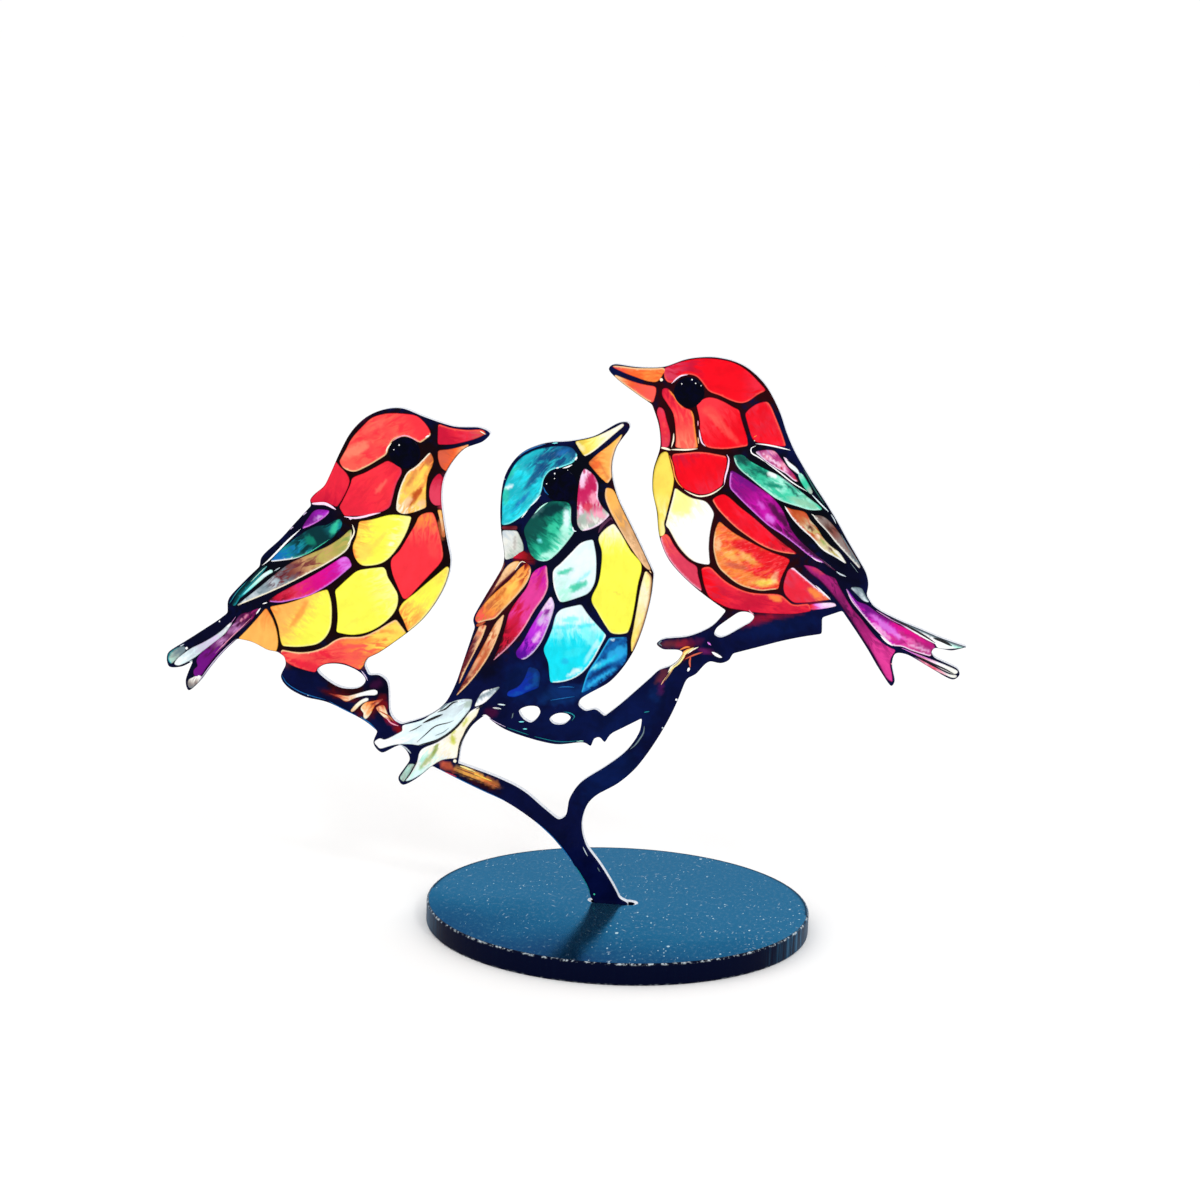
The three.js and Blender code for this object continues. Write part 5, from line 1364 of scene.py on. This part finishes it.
def pane_material():
    """Glassy enamel: two tones marbled together along the grain, darker towards its rim."""
    tree = Tree("printed_panes")
    grain = tree.vector_of("grain")
    place = tree.place()
    cloudy = tree.value_of("cloudy")
    strands = tree.noise(tree.scaled(grain, (0.3, 0.9, 1)), 1, 4, 0.55, 0.8)
    marbled = tree.mix(tree.ramp(strands, 0.4, 0.6),
                       tree.vector_of("tone_low"), tree.vector_of("tone_high"))
    soft = tree.noise(tree.scaled(grain, (0.25, 0.4, 1)), 1, 4, 0.6)
    even = tree.shade(marbled, tree.ramp(soft, 0.3, 0.7, 0.88, 1.04))
    cloud = tree.noise(tree.scaled(grain, (0.5, 0.9, 1)), 1, 4, 0.6, 0.5)
    clouded = tree.mix(cloudy, even, tree.shade(even, tree.ramp(cloud, 0.3, 0.7, 0.55, 1.2),
                                                tree.ramp(cloud, 0.3, 0.7, 1.1, 0.85)))
    fibres = tree.noise(tree.scaled(grain, (0.4, 5, 1)), 1, 3, 0.6, 0.8)
    light = tree.math("MULTIPLY", tree.ramp(fibres, 0.56, 0.75, 0.02, 0.5), cloudy)
    streaked = tree.mix(light, clouded, rgba("white"), "SCREEN")
    dark = tree.math("MULTIPLY", tree.ramp(fibres, 0.3, 0.44, 0.6, 0.03), cloudy)
    darker = tree.mix(dark, streaked, rgba("brown"), "MULTIPLY")
    wobble = tree.math("MULTIPLY", tree.noise(place, 2.2), 0.2)
    inward = tree.math("ADD", tree.value_of("edge"), wobble)
    bordered = tree.mix(tree.ramp(inward, 0.06, 0.34), tree.shade(darker, 0.45, 1.1), darker)
    return tree.surface(
        Base_Color=bordered,
        Roughness=tree.ramp(tree.noise(place, 0.6, 4), 0.3, 0.7, 0.08, 0.16),
        Specular_IOR_Level=0.04,
        Normal=tree.bump(tree.noise(place, 0.45), 0.05))


def print_material():
    """The dark print between the panes, with the glows of its mesh and soft blue clouds."""
    tree = Tree("printed_leads")
    place = tree.place()
    cloud = tree.noise(place, 0.16, 5, 0.6, 0.6)
    tone = tree.shade(tree.vector_of("tone"), tree.ramp(cloud, 0.3, 0.7, 0.6, 1.15))
    fine = tree.noise(place, 1.6, 5, 0.65)
    flecked = tree.mix(tree.ramp(fine, 0.62, 0.8, 0, 0.06), tone, rgba("azure"), "SCREEN")
    return tree.surface(
        Base_Color=flecked,
        Roughness=tree.ramp(tree.noise(place, 0.7, 4), 0.3, 0.7, 0.12, 0.26),
        Specular_IOR_Level=0.025,
        Normal=tree.bump(tree.noise(place, 0.5), 0.05))


def steel_material():
    """The bare cut edge, with the fine grooves a laser leaves across the sheet."""
    tree = Tree("cut_steel")
    grooves = tree.noise(tree.place((1, 0.12, 1)), 3.2, 4, 0.6)
    patches = tree.noise(tree.place(), 0.35)
    steel = tree.mix(tree.ramp(grooves, 0.35, 0.65), rgba("silver"), rgba("steel"))
    stained = tree.mix(tree.ramp(patches, 0.5, 0.75, 0, 0.3), steel, rgba("mist"))
    return tree.surface(
        Base_Color=stained,
        Metallic=0.5,
        Roughness=tree.ramp(grooves, 0.3, 0.7, 0.5, 0.3),
        Normal=tree.bump(grooves, 0.03))


def paint_material():
    """Opaque highlight paint in each stroke's own colour, a little uneven."""
    tree = Tree("highlight_paint")
    uneven = tree.noise(tree.place(), 1.8, 4, 0.6)
    return tree.surface(
        Base_Color=tree.shade(tree.vector_of("tone"), tree.ramp(uneven, 0.3, 0.7, 0.88, 1.05)),
        Roughness=tree.ramp(uneven, 0.3, 0.7, 0.15, 0.28),
        Specular_IOR_Level=0.3,
        Normal=tree.bump(uneven, 0.03))


def eye_material():
    """Blue-black lens with a faint cold cloud in it."""
    tree = Tree("eye_enamel")
    cloud = tree.noise(tree.place(), 0.5, 4, 0.6, 0.8)
    return tree.surface(
        Base_Color=tree.mix(tree.ramp(cloud, 0.4, 0.75, 0, 0.6), rgba("ink"), rgba("lens")),
        Roughness=tree.ramp(cloud, 0.3, 0.7, 0.06, 0.14),
        Specular_IOR_Level=0.015)


def disc_material():
    """Satin steel-blue enamel with painted shade: its ground and the tint of its reflection go
    from darker at the front and left to lighter at the back and right, under a random cloud.
    With specks and short hairs; the marks are longest towards the back, along the run of the brush."""
    tree = Tree("satin_enamel")
    place = tree.place()
    brushed = tree.place((1, 0.55, 1))
    cloud = tree.math("MULTIPLY", tree.noise(place, 0.03, 4, 0.55, 0.5), 0.4)
    # Painted shade: besides the random cloud, the ground and reflection tint grow lighter to the right
    # and towards the back
    across = tree.math("MULTIPLY", tree.part_of(place, "X"), 0.0015)
    back = tree.math("MULTIPLY", tree.part_of(place, "Y"), 0.008)
    cloud_and_painted_shade = tree.ramp(tree.math("ADD", tree.math("ADD", cloud, across), back), -0.25, 0.2)
    ground = tree.mix(cloud_and_painted_shade, rgba("ground_front"), rgba("ground_back"))
    grain = tree.noise(brushed, 1.1, 6, 0.75)
    marked = tree.mix(tree.ramp(grain, 0.5, 0.8, 0, 0.4), ground, rgba("mist"))
    crowd = tree.ramp(tree.noise(place, 0.07), 0.35, 0.65, 0.35, 1)
    for density, rarity, radius in SPECKS:
        distance, chance = tree.cells(brushed, density)
        size = tree.math("MULTIPLY", tree.ramp(chance, rarity, 0.85, 0, radius), crowd)
        speck = tree.math("MULTIPLY", tree.math("LESS_THAN", distance, size), 0.85)
        marked = tree.mix(speck, marked, rgba("ice"))
    for turn in HAIR_TURNS:
        turned = tree.add("Mapping", {"Vector": brushed, "Rotation": (0, 0, math.radians(turn))})
        distance, chance = tree.cells(tree.scaled(turned, (0.2, 1.1, 1)), 1)
        size = tree.ramp(chance, 0.6, 0.8, 0, 0.12)
        hair = tree.math("MULTIPLY", tree.math("LESS_THAN", distance, size), 0.65)
        marked = tree.mix(hair, marked, rgba("mist"))
    # Painted shade: a dark line along the far half of the top's edge
    far_shaded = tree.mix(tree.ramp(tree.value_of("border"), 0.4, 0.9), marked, rgba("shaded_ground"))
    return tree.surface(
        Base_Color=far_shaded,
        Metallic=0.85,
        Roughness=tree.ramp(grain, 0.3, 0.75, 0.12, 0.18),
        Specular_Tint=tree.mix(cloud_and_painted_shade, rgba("tint_front"), rgba("tint_back")),
        Specular_IOR_Level=0.05,
        Normal=tree.bump(tree.noise(place, 1.2, 5, 0.6), 0.02))


def side_material():
    """The same enamel seen on the disc's side, painted almost black as shade, worn light along
    the edges, with upright runs painted lighter towards the two ends as painted sheen."""
    tree = Tree("side_enamel")
    place = tree.place()
    runs = tree.noise(tree.place((1, 1, 0.03)), 1.1, 5, 0.65)
    aside = tree.math("ABSOLUTE", tree.part_of(place, "X"))
    # Painted sheen: the runs show clearer and lighter towards the side's left and right ends
    ends = tree.ramp(aside, SHEEN_START, SHEEN_FULL, 0.003, 0.75)
    soft = tree.math("MULTIPLY", tree.ramp(runs, 0.4, 0.7), ends)
    bright = tree.math("MULTIPLY", tree.ramp(runs, 0.55, 0.8, 0, 0.4), ends)
    # Painted shade: the side's ground is painted near black, darker than the same enamel on top
    dark = tree.mix(soft, rgba("shaded_ground"), rgba("ground_back"))
    streaked = tree.mix(bright, dark, rgba("tint_back"))
    worn = tree.ramp(tree.noise(place, 0.9, 5, 0.7), 0.5, 0.62)
    rim = tree.math("MULTIPLY", tree.value_of("worn"), worn)
    return tree.surface(
        Base_Color=tree.mix(rim, streaked, rgba("mist")),
        Roughness=tree.ramp(runs, 0.3, 0.7, 0.3, 0.42),
        Specular_IOR_Level=0.02,
        Normal=tree.bump(runs, 0.03))


def floor_material():
    """Nearly white paper, a little uneven."""
    tree = Tree("pale_floor")
    paper = tree.noise(tree.place(), 0.02, 4)
    darker, lighter = (grey(level) for level in FLOOR_GREYS)
    return tree.surface(
        Base_Color=tree.mix(tree.ramp(paper, 0.3, 0.7), darker, lighter),
        Roughness=0.9,
        Specular_IOR_Level=0.1)


# Scene


def make_birds(outline):
    """Each bird's panes and eye, on the front and again on the back."""
    enamel, lens = pane_material(), eye_material()
    for side, ending in ((-1, ""), (1, "_back")):
        for name, panes in BIRDS.items():
            build = Build()
            for seed, pane in enumerate(panes):
                add_pane(build, pane, side, outline, seed)
            build.finish(name + "_panes" + ending, [enamel])
            (x, z, radius), _ = EYES[name]
            build = Build()
            add_dot(build, np.array([x, z]), radius, EYE_RISE, side)
            build.finish(name + "_eye" + ending, [lens])


def make_highlights(outline):
    """The strokes on the front, and the catchlights that sit on the eyes."""
    paint = paint_material()
    build = Build()
    for name, width, text in STROKES:
        add_stroke(build, name, width, text, -1, outline)
    for (x, z, radius), catchlights in EYES.values():
        for at_x, at_z, size in catchlights:
            from_middle = min(1, math.hypot(at_x - x, at_z - z) / radius)
            rise = EYE_RISE * math.sqrt(1 - from_middle**2) + CATCHLIGHT_RISE
            add_dot(build, np.array([at_x, at_z]), size, rise, -1, tone=even_tone("white"))
    build.finish("print_highlights", [paint])


def camera_matrix():
    """Where the camera stands and how it is turned, from its azimuth, elevation and roll."""
    azimuth, elevation, roll = CAMERA_AZIMUTH, CAMERA_ELEVATION, CAMERA_ROLL
    back = Vector((math.sin(azimuth) * math.cos(elevation),
                   -math.cos(azimuth) * math.cos(elevation), math.sin(elevation)))
    right = Vector((math.cos(azimuth), math.sin(azimuth), 0))
    up = back.cross(right)
    rolled_right = right * math.cos(roll) + up * math.sin(roll)
    rolled_up = back.cross(rolled_right)
    aim = Vector((AIM_ALONG * math.cos(azimuth), AIM_ALONG * math.sin(azimuth), AIM_HEIGHT))
    matrix = Matrix((rolled_right, rolled_up, back)).transposed().to_4x4()
    matrix.translation = (aim + back * CAMERA_DISTANCE) * MM
    return matrix


def make_camera():
    """The photo's camera."""
    camera = bpy.data.cameras.new("camera")
    camera.lens = LENS
    camera.sensor_width = SENSOR
    holder = bpy.data.objects.new("camera", camera)
    holder.matrix_world = camera_matrix()
    bpy.context.scene.collection.objects.link(holder)
    bpy.context.scene.camera = holder


def add_light(name, place, width, power):
    """A round lamp that faces the ornament."""
    light = bpy.data.lights.new(name, "AREA")
    light.shape = "DISK"
    light.size = width
    light.energy = power
    holder = bpy.data.objects.new(name, light)
    holder.location = place
    direction = Vector(LIGHT_AIM) - Vector(place)
    holder.rotation_euler = direction.to_track_quat("-Z", "Y").to_euler()
    bpy.context.scene.collection.objects.link(holder)


def make_floor():
    """A wide white floor under the disc, which isn't part of the ornament."""
    floor = bpy.data.meshes.new("floor")
    half = FLOOR_WIDTH / 2
    floor.from_pydata([(-half, -half, 0), (half, -half, 0), (half, half, 0), (-half, half, 0)],
                      [], [(0, 1, 2, 3)])
    floor.materials.append(floor_material())
    holder = bpy.data.objects.new("floor", floor)
    bpy.context.scene.collection.objects.link(holder)


def make_studio():
    """An even white surround, two lamps and the floor."""
    bpy.context.scene.view_settings.view_transform = "Standard"
    world = bpy.data.worlds.new("studio")
    world.use_nodes = True
    surround = world.node_tree.nodes["Background"].inputs
    surround["Color"].default_value = grey(1)
    surround["Strength"].default_value = AMBIENT
    bpy.context.scene.world = world
    for light in LIGHTS:
        add_light(*light)
    make_floor()


outline = plate_outline()
steel = steel_material()
make_plate(outline, print_material(), steel)
make_disc(disc_material(), side_material(), steel)
make_birds(outline)
make_highlights(outline)
make_studio()
make_camera()
